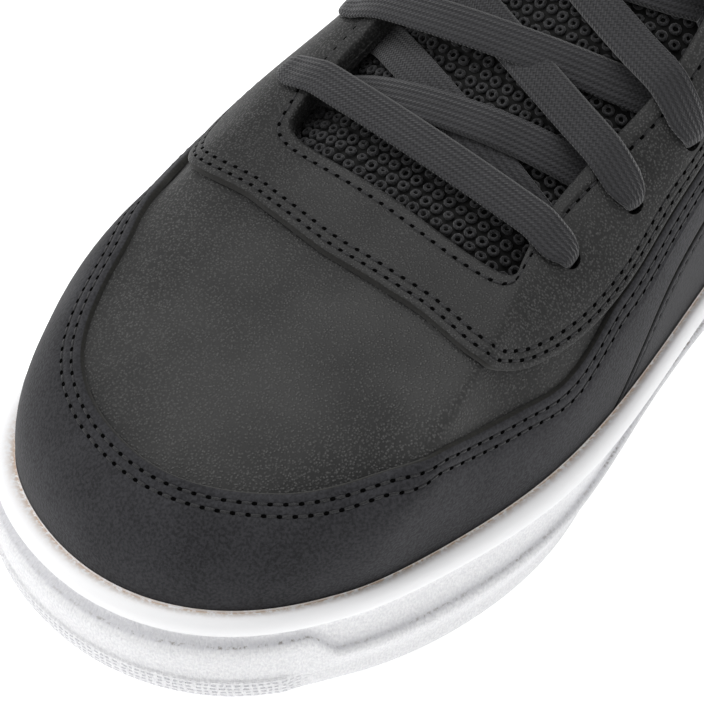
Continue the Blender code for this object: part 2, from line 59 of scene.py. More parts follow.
DIP_X = 236.0
DIP_WIDTH = 9.0
DIP_DEPTH = 0.5
DIP_FROM_Z = 40.0
DIP_RUN = 20.0
WAVE_HEIGHT = 0.3
WAVE_SCALE = 0.045
CALM_MARGIN = 12.0
COLLAR_ROW = 6.7
COLLAR_ROWS = 0.5
COLLAR_RIM = 0.8
COLLAR_PAD = 3.2
PAD_REACH = 46.0
PAD_FADE = 20.0
PAD_TOP = 9.0

INSOLE_THICKNESS = 4.0
INSOLE_CLEARANCE = 0.3
INSOLE_MIDDLE_Y = 2.0
INSOLE_RINGS = ((1.0, -3.6), (1.0, -0.4), (0.97, 0.2), (0.9, 0.3), (0.75, -0.3), (0.5, -0.8), (0.25, -1.0))

FEATHER_Z = 15.5
FEATHER_TOE_RISE = 3.5
FEATHER_HEEL_RISE = 7.5
SPRING_START_X = 227.0
FEATHER_SPRING_RUN = 76.0
HEEL_RISE_START_X = 182.0
HEEL_RISE_RUN = 136.0
TOE_SPRING = 8.0
TOE_SPRING_RUN = 84.0
ARCH_RISE = 2.0
ARCH_FROM_X = 94.0
ARCH_TO_X = 157.0

Section = namedtuple(
    "Section",
    "name along medial lateral top_along top_medial top_lateral top_z wall lean roll drop")
SECTIONS = (
    Section("toe_tip", 100.0, 15.6, -15.6, 71.6, 8, -8, 65, 30, 11, 57, 5),
    Section("toe_corner", 97.3, 62, 40, 71.8, 36, 20, 65, 30, 11, 51, 5),
    Section("toe_side", 91.4, 86, 67, 71.4, 75, 48, 64, 30, 11, 39, 5),
    Section("toe_joint", 84.2, 97, 84, 68.3, 72, 56, 66, 29, 11, 22, 5),
    Section("ball", 73.6, 102, 102, 62.0, 67, 56, 72, 29, 9, 16, 6),
    Section("ball_back", 61.7, 88, 99, 54.8, 69, 56, INSTEP_HEIGHT, 30, 7, 14, 10),
    Section("waist", 48.2, 67, 90, 46.2, 62, 58, 102, 36, 4, 13, 15),
    Section("instep", 33.0, 58, 77, 36.0, 60, 62, 134, 40, 4, 6, 30),
    Section("heel_side", 16.2, 64, 70, 18.3, 64, 66, 126, 40, 4, -2, 34),
    Section("heel_corner", 4.7, 46, 49, 5.8, 44, 46, 133, 40, 4, -4, 34),
    Section("heel_back", 1.2, 0, 0, 2.4, 0, 0, COLLAR_HEIGHT, 40, 4, -4, 34),
)
HEEL_ROW = len(SECTIONS) - 1
ROWS = 2 * HEEL_ROW

SoleSection = namedtuple("SoleSection", "name lip_medial lip_lateral low_medial low_lateral")
SOLE_SECTIONS = (
    SoleSection("toe_tip", 3.8, 3.8, 4.6, 4.6),
    SoleSection("toe_corner", 3.4, 4.6, 3.6, 5.0),
    SoleSection("toe_side", 3.2, 4.8, 1.2, 5.0),
    SoleSection("toe_joint", 3.6, 5.0, 1.6, 5.0),
    SoleSection("ball", 3.8, 5.0, -1.4, 5.0),
    SoleSection("ball_back", 2.6, 5.0, -7.0, 4.5),
    SoleSection("waist", 2.2, 4.6, -5.0, 3.0),
    SoleSection("instep", 2.6, 4.2, -2.5, 2.5),
    SoleSection("heel_side", 4.0, 4.4, 1.5, 3.0),
    SoleSection("heel_corner", 4.5, 4.5, 3.0, 3.0),
    SoleSection("heel_back", 4.5, 4.5, 3.0, 3.0),
)
LIP_RISE = 10.2
LIP_FOOT_RISE = -4.0
CUP_REACH = 11.0
CUP_CLEARANCE = GAP + OVERLAY + GAP
RIDGE_TOE_SHARE = 0.82
RIDGE_SIDE_SHARE = 0.54
RIDGE_DROP_ROW = 1.72
RIDGE_DROP_ROWS = 0.3
TOE_PLATE_ROW = 1.5
TOE_PLATE_ROWS = 0.15
TOE_PLATE_STEP = 0.9
PLATE_HEIGHT = 6.6
PLATE_FADE = 0.6
PLATE_ROW_PITCH = 1.05
PLATE_DASH_PITCH = 1.5

Ring = namedtuple("Ring", "name lip low step level rise")
SIDE_RINGS = (
    Ring("mouth", 0.0, 0.0, -0.5, "lip", -0.6),
    Ring("mouth_edge", 0.12, 0.0, 0.0, "lip", -0.2),
    Ring("crest", 0.50, 0.0, 0.0, "lip", 0.0),
    Ring("shoulder", 0.86, 0.0, 0.0, "lip", -0.9),
    Ring("lip_face", 1.00, 0.0, 0.0, "lip", -2.3),
    Ring("lip_foot", 0.97, 0.0, 0.0, "lip", LIP_FOOT_RISE),
    Ring("band_top", 0.97, 0.0, -1.4, "lip", -4.8),
    Ring("band_foot", 0.50, 0.5, -0.8, "ridge", 0.9),
    Ring("ridge_top", 0.50, 0.5, 0.8, "ridge", 0.0),
    Ring("ridge_face", 0.40, 0.6, 1.4, "ridge", -1.3),
    Ring("plate_over", 0.10, 0.9, 0.8, "bottom", 7.0),
    Ring("plate_top", 0.05, 0.95, 0.7, "bottom", 6.4),
    Ring("edge", 0.0, 1.0, 0.0, "bottom", 1.3),
    Ring("tread", 0.0, 1.0, -1.8, "bottom", 0.0),
)
PLATE_RINGS = ("plate_top", "edge")

# Marks that the rubber's finish reads: heights over the lip's foot and over the ridge line, and the shares
# of glue line and ribbed plate.
SoleMark = namedtuple("SoleMark", "over_lip over_ridge glue plate")
UNMARKED = SoleMark(-9.0, -9.0, 0.0, 0.0)
GLUE = {"mouth": 1.0, "mouth_edge": 0.28}
FLOOR_COLUMNS = 6
TREAD_COLUMNS = 22

GROOVE_WIDTH = 3.0
GROOVE_DEPTH = 2.0
GROOVE_PITCH = 12.5
GROOVE_RIM = 11.0
GROOVE_SLOPE = 1.0
GROOVE_RUN_OUT = 2.0
FOREFOOT_GROOVE_X = 172.0
FOREFOOT_GROOVES = 7
HEEL_GROOVE_X = 27.0
HEEL_GROOVES = 5

Panel = namedtuple("Panel", "row eyestay guard_medial guard_lateral foxing")
PANELS = (
    Panel(0.0, 18.6, 36.1, 36.1, 0),
    Panel(1.0, 17.3, 35.6, 39.2, 0),
    Panel(1.5, 16.6, 36.0, 44.5, 0),
    Panel(2.0, 18.4, 38.5, 49.5, 0),
    Panel(2.25, 20.4, 40.8, 50.4, 0),
    Panel(2.5, 22.8, 41.4, 50.5, 0),
    Panel(2.75, 25.5, 39.7, 49.2, 0),
    Panel(3.0, 28.4, 37.7, 46.5, 0),
    Panel(3.5, 33.9, 34.1, 44.0, 0),
    Panel(4.0, 35.3, 32.2, 41.5, 0),
    Panel(4.5, 32.0, 42.5, 44.5, 7),
    Panel(5.0, 26.0, 60.0, 60.0, 28),
    Panel(5.5, 24.5, 70.0, 70.0, 36),
    Panel(6.0, 24.0, 80.0, 80.0, 42),
    Panel(6.5, 24.0, 90.0, 90.0, 52),
    Panel(7.0, 24.0, 95.0, 95.0, 58),
    Panel(8.0, 24.0, 95.0, 95.0, 58),
    Panel(10.0, 24.0, 95.0, 95.0, 62),
)
EYESTAY_ROWS = 6.75
GUARD_ROWS = 6.0
FOXING_ROW = 4.5
PANEL_SEAM = 0.5
PANEL_FOOT = 0.5
PANEL_SLANT = 1.6
STAY_SLANT = 1.8
STAY_INSET = 0.9
STAY_THICKNESS = 0.7
LEAST_WIDTH = 0.02
NARROW_WIDTH = 3.0
RIM_RADIUS = 0.55
RIM_SUNK = 0.3
RIM_CLEAR = 0.3
PUFF_HEIGHT = 0.14
PUFF_PLACE = 0.55
PUFF_SPREAD = 0.35
# Columns across a panel: insets from its edge, then even steps; at the throat, insets and the folded edge.
EDGE_COLUMNS = np.array([0, 0.06, 0.18, 0.35, 0.55, 1.0, 1.6, 2.0, 2.3, 2.6, 3.0, 3.6, 4.1, 4.5, 4.9, 5.6])
EDGES_SHARE = 2.2
CUT_EDGE_SHADE_COLUMNS = 3
PANEL_COLUMNS = 16
STAY_COLUMNS = 14
THROAT_COLUMNS = np.array([9.0, 7.4, 6.2, 5.6, 5.2, 4.8, 4.4, 4.0, 3.5,
                           3.0, 2.7, 2.4, 2.1, 1.7, 1.2, 0.7, 0.3])
THROAT_FOLD = np.array([(0.0, -0.15), (-0.45, -0.6), (-0.65, -1.4), (-0.65, -3.2), (-0.5, -4.6)])
THROAT_CORNER_ROW = 2.7
THROAT_CORNER_ROWS = 0.7
THROAT_LIP = 0.55
THROAT_LIP_RUN = 1.2

EYELET_ROWS = (3.75, 4.5, 5.15, 5.75, 6.3)
EYELET_SET_BACK = 15.5
EYELET_DIAMETER = 4.4
EYELET_SIDES = 20
PIN_REACH = 8.0

TONGUE_DEPTH = 5.8
TONGUE_CREST = 0.2
TONGUE_MARGIN = 7.0
TONGUE_PADDING = 5.6
TONGUE_EDGE_TUCK = 1.4
TONGUE_REACH = 1.2
TONGUE_COLUMNS = 49
TONGUE_STEP = 0.125
TONGUE_FIRST_ROW = 3.0
TONGUE_LAST_ROW = 7.0
TongueEnd = namedtuple("TongueEnd", "forward drop narrow")
TONGUE_TOE_END = (TongueEnd(17.0, 2.4, 0.8), TongueEnd(8.0, 1.6, 0.95))
TONGUE_TOP_END = (TongueEnd(-10.0, -9.0, 0.95), TongueEnd(-17.5, -16.5, 0.75))
MESH_PITCH_ALONG = 2.7
MESH_PITCH_ACROSS = 3.15
MESH_RING_RADIUS = 0.95
MESH_YARN_RADIUS = 0.42
MESH_SEED = 7
MESH_YARN_HEIGHT = 1.2 * MESH_YARN_RADIUS
MESH_RING_FLATNESS = 0.92
MESH_RING_STEPS = 9
MESH_YARN_SIDES = 5
MESH_THICKNESS = 0.9
MESH_SUNK = 0.35
MESH_FIRST_ROW = 1.5
MESH_FIRST_RING = 1.2
MESH_END = 1.0
MESH_AHEAD = 0.5
MESH_SHAKE_SCALE = 0.9
MESH_PLACE_SHAKE = np.array([0.55, 0.55, 0.33])
MESH_SIZE_SHAKE = 0.3
MESH_TILT = 0.5

LACE_WIDTH = 8.4
LACE_THICKNESS = 1.6
THROAT_ROWS = np.linspace(2.5, 7.0, 91)
LACE_BUNCHED = 0.5
LACE_OVER = PANEL_TOP + 0.95
LACE_EDGE_OVER = PANEL_TOP + 1.6
LACE_UNDER = -4.1
LACE_CREST = 2.7
LACE_BAR_CREST = 5.0
LACE_SHARES = (0.14, 0.32, 0.5, 0.68, 0.86)
LACE_OVER_SHARES = (0.6, 0.42, 0.2, 0.0)
LACE_UNDER_SHARES = (-0.04, 0.25, 0.5)
LACE_STEP = 1.3
LACE_ARCH_POWER = 2.4
LACE_OVER_LACE = 1.1 * LACE_THICKNESS
LACE_SIDES = 16
LACE_FLAT_POWER = 0.7
LACE_TALL_POWER = 0.75
LACE_LEAST_SHARE = 0.55
LacePoint = namedtuple("LacePoint", "place up width")
# Stops of the lace at a hole: set-back from the throat edge, lift and share of its width.
LACE_INTO_HOLE = (
    (EYELET_SET_BACK - 3.2, LACE_OVER + 0.25, 0.85),
    (EYELET_SET_BACK - 1.2, LACE_OVER - 0.1, 0.62),
    (EYELET_SET_BACK - 0.2, 0.4, LACE_BUNCHED),
)
LACE_OUT_OF_HOLE = (
    (EYELET_SET_BACK - 1.0, LACE_UNDER + 1.2, LACE_BUNCHED),
    (EYELET_SET_BACK - 4.0, LACE_UNDER, 0.85),
)
RIB_PITCH = 0.95
RIB_SLANT = 1.4
RIB_HALF_WIDTH = 0.45
WALE_PITCH = 1.3

STITCH_PITCH = 3.1
STITCH_LENGTH = 2.2
STITCH_START = 0.4
Stitch = namedtuple("Stitch", "start end hole up")
THREAD_RADIUS = 0.28
THREAD_SPREAD = 1.15
THREAD_SIDES = 6
THREAD_PROUD = 0.1
# Shares along a thread, of its radius, and of its rise off the seam.
THREAD_STATIONS = ((-0.06, 0.35, -0.5), (0.1, 0.85, -0.1), (0.5, 1.0, 0.15),
                   (0.9, 0.85, -0.1), (1.06, 0.35, -0.5))
HOLE_LENGTH = 1.24
HOLE_WIDTH = 0.84
HOLE_LIFT = 0.12
HOLE_BEFORE = 0.45
HOLE_SIDES = 8
SEWN_WIDTH = 9.0
GUARD_SEAM_END = 0.2
STAY_SEAM_END = 0.1
FOXING_SEAM_END = 0.3
SEAM_ROWS = (2.3, 4.5)
THROAT_SEAM_FRONT = 2.4
THROAT_SEAM_SIDE = 4.6
SEAM_DEPTH = 0.32
SEAM_WIDTH = 0.42
GUARD_SKIVE = 0.85
STAY_SKIVE = 0.5
SKIVE_REACH = 2.5

CAMERA_AIM = np.array([242.0, 0.0, 45.0])
CAMERA_AZIMUTH = 139.35
CAMERA_ELEVATION = 44.67
CAMERA_ROLL = -4.6
CAMERA_DISTANCE = 1190.0
CAMERA_SCALE = 4.91
CAMERA_OFF_CENTRE = (11.95, -6.56)
PHOTO_SIZE = 704
SENSOR = 36.0

SURROUND = 0.46
FLOOR_HALF = 6.0
LIGHT_AIM = (0.08, 0.0, 0.04)
Light = namedtuple("Light", "name place size power")
LIGHTS = (
    Light("top", (-0.15, -0.25, 1.5), 1.1, 12.0),
    Light("left", (0.95, -0.85, 0.75), 0.8, 5.0),
    Light("right", (-0.75, 0.95, 0.8), 0.8, 0.9),
)

UPPER_STEP = 0.04
PANEL_STEP = 0.03
SOLE_STEP = 0.03125
INSOLE_STEP = 0.1
NUDGE = 0.001


# Form of the last and of the sole


def closed_spline(values, u):
    """Smooth closed curve through one row of values per whole u."""
    count = len(values)
    identity = np.eye(count)
    matrix = 4 * identity + np.roll(identity, 1, 0) + np.roll(identity, -1, 0)
    bend = np.linalg.solve(matrix, 6 * (np.roll(values, -1, 0) - 2 * values + np.roll(values, 1, 0)))
    u = np.mod(u, count)
    low = np.floor(u).astype(int) % count
    high = (low + 1) % count
    b = (u - np.floor(u))[:, None]
    a = 1 - b
    curve = (a ** 3 - a) * bend[low] + (b ** 3 - b) * bend[high]
    return a * values[low] + b * values[high] + curve / 6


def last_rows():
    """Numbers of each section around the last: foot x, y, top x, y, z and the four handles."""
    half = BALL_WIDTH / 2
    rows = []
    for side, sections in ((1, SECTIONS), (-1, SECTIONS[-2:0:-1])):
        for s in sections:
            foot_y = s.medial if side > 0 else -s.lateral
            top_y = s.top_medial if side > 0 else -s.top_lateral
            rows.append((s.along * UPPER_LENGTH / 100, foot_y * half / 100,
                         s.top_along * UPPER_LENGTH / 100, top_y * half / 100, s.top_z,
                         s.wall, s.lean, s.roll, s.drop))
    return np.array(rows, float)


def sole_rows():
    """Stand-out of the lip and of the lower edge for each section around the sole."""
    rows = [(s.lip_medial, s.low_medial) for s in SOLE_SECTIONS]
    rows += [(s.lip_lateral, s.low_lateral) for s in SOLE_SECTIONS[-2:0:-1]]
    return np.array(rows, float)


LAST = last_rows()
SOLE = sole_rows()


def smooth(share):
    """Ease from 0 to 1."""
    share = np.clip(share, 0, 1)
    return share * share * (3 - 2 * share)


def unit(vectors):
    """Vectors of length one."""
    return vectors / np.linalg.norm(vectors, axis=-1)[..., None]


def run_along(path):
    """Length along a path from its first point to each of its points."""
    return np.concatenate([[0], np.cumsum(np.linalg.norm(np.diff(path, axis=0), axis=1))])


def read_at(where, run, values):
    """Rows of values, read at lengths along their path."""
    return np.stack([np.interp(where, run, column) for column in values.T], axis=-1)


def folded(u):
    """Rows from the toe tip, counted the same way on both sides."""
    return np.abs(np.mod(u + HEEL_ROW, ROWS) - HEEL_ROW)


def floor_z(x):
    """Level of the cup's floor, with the toe spring and the raised heel."""
    toe = np.clip((x - SPRING_START_X) / FEATHER_SPRING_RUN, 0, None) ** 2
    heel = smooth((HEEL_RISE_START_X - x) / HEEL_RISE_RUN)
    return FEATHER_Z + FEATHER_TOE_RISE * toe + FEATHER_HEEL_RISE * heel


def bottom_z(x):
    """Level of the tread: flat under the ball and the heel, raised at the toe and the arch."""
    toe = np.clip((x - SPRING_START_X) / TOE_SPRING_RUN, 0, None) ** 2
    arch = np.clip((x - ARCH_FROM_X) / (ARCH_TO_X - ARCH_FROM_X), 0, 1)
    return TOE_SPRING * toe + ARCH_RISE * np.sin(np.pi * arch) ** 2


def way_out(row, ahead):
    """Unit normals of a plan curve that runs with the medial side on its right hand."""
    along = unit(ahead - row)
    return np.column_stack([along[:, 1], -along[:, 0], np.zeros(len(along))])


def foot_line(u):
    """Table row, feather line and the ways out in plan from the feather line and from the top edge."""
    row = closed_spline(LAST, u)
    ahead = closed_spline(LAST, u + NUDGE)
    foot = np.column_stack([row[:, 0], row[:, 1], floor_z(row[:, 0]) + GAP])
    return row, foot, way_out(row[:, :2], ahead[:, :2]), way_out(row[:, 2:4], ahead[:, 2:4])


def surface(u, v):
    """Outer face of the upper: one wall curve for each u, read at each column of v."""
    row, foot, out, top_out = foot_line(u)
    top = row[:, 2:5]
    reach = unit((foot - top) / ROLL_REACH * np.array([1.0, 1.0, 0.0]) + top_out)
    wall = foot + out * row[:, 6:7]
    wall[:, 2] += row[:, 5]
    roll = top + reach * row[:, 7:8]
    roll[:, 2] -= row[:, 8]
    foot, wall, roll, top = (p[:, None, :] for p in (foot, wall, roll, top))
    v = np.broadcast_to(v, (len(u), np.shape(v)[-1]))[..., None]
    w = 1 - v
    return w ** 3 * foot + 3 * w * w * v * wall + 3 * w * v * v * roll + v ** 3 * top


FINE = np.linspace(0, 1, 121)


def wall_lengths(u):
    """Length of the wall from the feather line to each fine step of v."""
    steps = np.linalg.norm(np.diff(surface(u, FINE), axis=1), axis=2)
    return np.concatenate([np.zeros((len(u), 1)), np.cumsum(steps, axis=1)], axis=1)


def wall_height(u):
    """Whole length of the wall, from the feather line to the throat or collar edge."""
    return wall_lengths(u)[:, -1]


def wall_frame(u, distance):
    """Points at distances up the wall with their normals; past an edge they run straight on."""
    step = 0.004
    lengths = wall_lengths(u)
    inside = np.clip(distance, 0, lengths[:, -1:])
    v = np.array([np.interp(d, row, FINE) for d, row in zip(inside, lengths)])
    up = unit(surface(u, np.minimum(v + step, 1)) - surface(u, np.maximum(v - step, 0)))
    along = surface(u + step, v) - surface(u - step, v)
    points = surface(u, v) + (distance - inside)[..., None] * up
    return points, unit(np.cross(along, up))


def on_wall(u, distance, lift):
    """Points at distances up the wall, lifted off its outer face."""
    points, out = wall_frame(u, distance)
    return points + np.broadcast_to(lift, distance.shape)[..., None] * out


def from_throat(row, set_back, lift):
    """One point and its normal at a distance below the throat edge."""
    u = np.array([float(row)])
    points, out = wall_frame(u, wall_height(u)[:, None] - set_back)
    return points[0, 0] + lift * out[0, 0], out[0, 0]


def hermite(knots, values, where):
    """Smooth curve through values at rising knots, read at other places along them."""
    slope = np.gradient(values, knots, axis=0)
    low = np.clip(np.searchsorted(knots, where, "right") - 1, 0, len(knots) - 2)
    shape = (-1,) + (1,) * (np.ndim(values) - 1)
    span = (knots[low + 1] - knots[low]).reshape(shape)
    t = (where - knots[low]).reshape(shape) / span
    return ((2 * t ** 3 - 3 * t ** 2 + 1) * values[low] + (t ** 3 - 2 * t ** 2 + t) * span * slope[low]
            + (3 * t ** 2 - 2 * t ** 3) * values[low + 1] + (t ** 3 - t ** 2) * span * slope[low + 1])


def panel_edge(u, medial, lateral=None):
    """Panel edge at each u, a smooth curve through the table's column for each side."""
    rows = np.array([p.row for p in PANELS])
    on_medial = np.array([getattr(p, medial) for p in PANELS], float)
    on_lateral = np.array([getattr(p, lateral or medial) for p in PANELS], float)
    signed = np.mod(u + HEEL_ROW, ROWS) - HEEL_ROW
    knots = np.concatenate([-rows[:0:-1], rows])
    return hermite(knots, np.concatenate([on_lateral[:0:-1], on_medial]), signed)


def guard_edge(u):
    """Upper edge of the toe guard at each u, from its own column on each side."""
    return panel_edge(u, "guard_medial", "guard_lateral")


def eased(values):
    """Panel edge with its table corners rounded off."""
    count = 9
    kernel = np.hanning(count + 2)[1:-1]
    kernel /= kernel.sum()
    padded = np.concatenate([np.full(count // 2, values[0]), values, np.full(count // 2, values[-1])])
    return np.convolve(padded, kernel, "valid")


# Meshes


def add_mesh(name, points, faces, materials, smooth_angle=40.0):
    """Piece from points on the last and faces, riding on the shoe."""
    mesh = bpy.data.meshes.new(name)
    mesh.from_pydata(((np.asarray(points) - LAST_ORIGIN) * MM).tolist(), [], faces)
    mesh.validate()
    mesh.shade_smooth()
    mesh.set_sharp_from_angle(angle=np.radians(smooth_angle))
    for finish in materials:
        mesh.materials.append(finish)
    piece = bpy.data.objects.new(name, mesh)
    bpy.context.scene.collection.objects.link(piece)
    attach(piece, "root")
    return piece


def grid_faces(rows, columns, closed_rows=False, closed_columns=False, start=0):
    """Quads of a grid that is stored row by row."""
    faces = []
    for i in range(rows if closed_rows else rows - 1):
        here, ahead = start + i * columns, start + (i + 1) % rows * columns
        for k in range(columns if closed_columns else columns - 1):
            m = (k + 1) % columns
            faces.append((here + k, ahead + k, ahead + m, here + m))
    return faces


def tube_faces(rows, sides, start=0):
    """Quads of a tube that is stored ring by ring, with a cap at each end."""
    last = start + (rows - 1) * sides
    caps = [tuple(range(start, start + sides)), tuple(reversed(range(last, last + sides)))]
    return grid_faces(rows, sides, False, True, start) + caps


def flipped(faces):
    """The same faces seen from their other side."""
    return [face[::-1] for face in faces]


def circle(sides):
    """Cosines and sines of even turns round a circle, as columns."""
    turns = np.linspace(0, 2 * np.pi, sides, endpoint=False)[:, None]
    return np.cos(turns), np.sin(turns)


def paint_faces(piece, picked):
    """Give the picked faces the piece's second material."""
    piece.data.polygons.foreach_set("material_index", np.asarray(picked).astype(np.int32))


def set_uv(piece, values):
    """UV map from one pair of numbers per vertex."""
    mesh = piece.data
    layer = mesh.uv_layers.new(name="UVMap")
    corners = np.empty(len(mesh.loops), int)
    mesh.loops.foreach_get("vertex_index", corners)
    layer.data.foreach_set("uv", np.asarray(values, float)[corners].ravel())


def set_mask(piece, name, values):
    """Single-number attribute on the vertices for a material to read."""
    layer = piece.data.attributes.new(name, "FLOAT", "POINT")
    layer.data.foreach_set("value", np.asarray(values, float))


def hole_pins():
    """Round pins through all the lace holes, as one mesh to cut with."""
    cosines, sines = circle(EYELET_SIDES)
    points, faces = [], []
    for row in EYELET_ROWS:
        for side in (1, -1):
            centre, out = from_throat(side * row, EYELET_SET_BACK, 0.0)
            first = unit(np.cross(out, (1.0, 0.0, 0.0)))
            spokes = EYELET_DIAMETER / 2 * (cosines * first + sines * np.cross(out, first))
            faces += flipped(tube_faces(2, EYELET_SIDES, len(points)))
            for lift in (-PIN_REACH, PIN_REACH):
                points += list(centre + lift * out + spokes)
    mesh = bpy.data.meshes.new("lace_holes")
    mesh.from_pydata(((np.array(points) - LAST_ORIGIN) * MM).tolist(), [], faces)
    return mesh


def punch(piece):
    """Cut the lace holes through a closed piece."""
    cutter = bpy.data.objects.new("lace_holes", hole_pins())
    bpy.context.scene.collection.objects.link(cutter)
    cut = piece.modifiers.new("Holes", "BOOLEAN")
    cut.operation = "DIFFERENCE"
    cut.solver = "EXACT"
    cut.object = cutter
    made = bpy.data.meshes.new_from_object(piece.evaluated_get(bpy.context.evaluated_depsgraph_get()))
    piece.modifiers.clear()
    piece.data = made
    bpy.data.objects.remove(cutter)


# Materials


def per_mm(size):
    """Texture scale whose features are about this many millimetres across."""
    return 1.0 / (size * MM)


class Field:
    """A value that varies over a surface; arithmetic on it makes Math nodes."""

    def __init__(self, shader, socket):
        self.shader = shader
        self.socket = socket

    def __add__(self, other):
        return self.shader.math("ADD", self, other)

    def __sub__(self, other):
        return self.shader.math("SUBTRACT", self, other)

    def __rsub__(self, other):
        return self.shader.math("SUBTRACT", other, self)

    def __mul__(self, other):
        return self.shader.math("MULTIPLY", self, other)


class Shader:
    """A node material built step by step."""

    def __init__(self, name, colour, roughness, specular):
        self.material = bpy.data.materials.new(name)
        self.material.use_nodes = True
        self.nodes = self.material.node_tree.nodes
        self.links = self.material.node_tree.links
        self.principled = self.nodes["Principled BSDF"]
        self.set("Base Color", (*colour, 1.0))
        self.set("Roughness", roughness)
        self.set("Specular IOR Level", specular)
        self.coordinates = self.add("ShaderNodeTexCoord").outputs

    def set(self, socket, value):
        self.principled.inputs[socket].default_value = value

    def add(self, kind, **settings):
        node = self.nodes.new(kind)
        for key, value in settings.items():
            if key in node.inputs:
                node.inputs[key].default_value = value
            else:
                setattr(node, key.lower(), value)
        return node

    def link(self, source, target):
        self.links.new(source.socket if isinstance(source, Field) else source, target)

    def feed(self, value, socket):
        """Link a varying value to a socket, or set a fixed one on it."""
        if isinstance(value, Field):
            self.link(value, socket)
        else:
            socket.default_value = value

    def axes(self, source):
        """The components of a set of texture coordinates."""
        node = self.add("ShaderNodeSeparateXYZ")
        self.link(self.coordinates[source], node.inputs[0])
        return [Field(self, socket) for socket in node.outputs]

    def noise(self, size, detail=3.0, roughness=0.55):
        node = self.add("ShaderNodeTexNoise", Scale=per_mm(size), Detail=detail, Roughness=roughness)
        self.link(self.coordinates["Object"], node.inputs["Vector"])
        return Field(self, node.outputs["Fac"])

    def cells(self, size, feature, warp):
        """Cells that are bent out of their grid by a share of their size."""
        scale = per_mm(size)
        bend = self.add("ShaderNodeTexNoise", Scale=scale * 0.6, Detail=2.0)
        self.link(self.coordinates["Object"], bend.inputs["Vector"])
        bent = self.add("ShaderNodeVectorMath", Operation="MULTIPLY_ADD")
        bent.inputs[1].default_value = (warp / scale,) * 3
        self.link(bend.outputs["Color"], bent.inputs[0])
        self.link(self.coordinates["Object"], bent.inputs[2])
        node = self.add("ShaderNodeTexVoronoi", Scale=scale, Feature=feature)
        self.link(bent.outputs[0], node.inputs["Vector"])
        return Field(self, node.outputs["Distance"])

    def math(self, operation, *values, clamp=False):
        node = self.add("ShaderNodeMath", Operation=operation, Use_clamp=clamp)
        for socket, value in zip(node.inputs, values):
            self.feed(value, socket)
        return Field(self, node.outputs[0])

    def ramp(self, source, low, high, to_low=0.0, to_high=1.0):
        node = self.add("ShaderNodeMapRange")
        for socket, value in zip(node.inputs[:5], (source, low, high, to_low, to_high)):
            self.feed(value, socket)
        return Field(self, node.outputs[0])

    def wave(self, along, period, low=-1.0, high=1.0):
        """Sine wave of a length, brought to 0 and 1 at two of its levels."""
        return self.ramp(self.math("SINE", along * (2 * np.pi / period)), low, high)

    def attribute(self, name):
        return Field(self, self.add("ShaderNodeAttribute", Attribute_name=name).outputs["Fac"])

    def mix(self, share, first, second):
        """Blend of two colours, each a tuple or an earlier blend."""
        node = self.add("ShaderNodeMix", Data_type="RGBA")
        self.link(share, node.inputs[0])
        for socket, value in zip(node.inputs[6:8], (first, second)):
            self.feed((*value, 1.0) if isinstance(value, tuple) else value, socket)
        return Field(self, node.outputs[2])

    def colour(self, source):
        self.link(source, self.principled.inputs["Base Color"])

    def roughness(self, source):
        self.link(source, self.principled.inputs["Roughness"])

    def bump(self, source, distance, after=None):
        node = self.add("ShaderNodeBump", Strength=1.0, Distance=distance * MM)
        self.link(source, node.inputs["Height"])
        if after is not None:
            self.link(after, node.inputs["Normal"])
        self.link(node.outputs["Normal"], self.principled.inputs["Normal"])
        return node.outputs["Normal"]


def grain_leather(name, dark, light, pebble, depth, crease_dip_and_shade):
    """Black full-grain leather: fine pebbles and thin crease lines between clumps of them, with painted
    highlight on the pebble tops and painted shade in the crease lines.
    """
    s = Shader(name, dark, 0.5, 0.34)
    pebbles = s.ramp(s.cells(pebble, "F1", 0.6), 0.12, 0.55, 1.0, 0.0)
    clumps = s.ramp(s.cells(pebble * 2.2, "DISTANCE_TO_EDGE", 1.0), 0.0, 0.12)
    patches = s.ramp(s.noise(26.0, 2.0), 0.35, 0.65)
    grain = pebbles * s.ramp(clumps, 0.0, 1.0, 1.0 - crease_dip_and_shade, 1.0)
    tone = grain * 0.82 + patches * 0.18
    # Painted highlight and shade: lighter colour on the pebble tops, darker in the crease lines, mixed with
    # random patches of tone.
    s.colour(s.mix(tone, dark, light))
    s.roughness(s.ramp(tone, 0.0, 1.0, 0.62, 0.42))
    fine = s.bump(s.noise(0.3, 2.0), 0.03)
    s.bump(grain, depth, after=fine)
    return s.material


def nubuck(name, dark, light):
    """Black nubuck: short velvety nap with cloudy shade and a soft sheen."""
    s = Shader(name, dark, 0.82, 0.3)
    s.set("Sheen Weight", 0.1)
    s.set("Sheen Roughness", 0.45)
    clouds = s.ramp(s.noise(18.0), 0.35, 0.68)
    nap = s.ramp(s.noise(0.6, 2.0), 0.36, 0.64)
    specks = s.ramp(s.noise(0.9, 1.0), 0.62, 0.75)
    tone = s.math("ADD", clouds * 0.35 + nap * 0.65, specks * 0.15, clamp=True)
    s.colour(s.mix(tone, dark, light))
    s.bump(nap, 0.05)
    return s.material


def yarn(name, dark, light, size=0.4, shine=1.0):
    """Matt textile yarn with a fine fibre grain."""
    s = Shader(name, dark, 0.85, 0.25 * shine)
    s.set("Sheen Weight", 0.2 * shine)
    fibre = s.noise(size)
    s.colour(s.mix(s.ramp(fibre, 0.35, 0.68), dark, light))
    s.bump(fibre, 0.06)
    return s.material


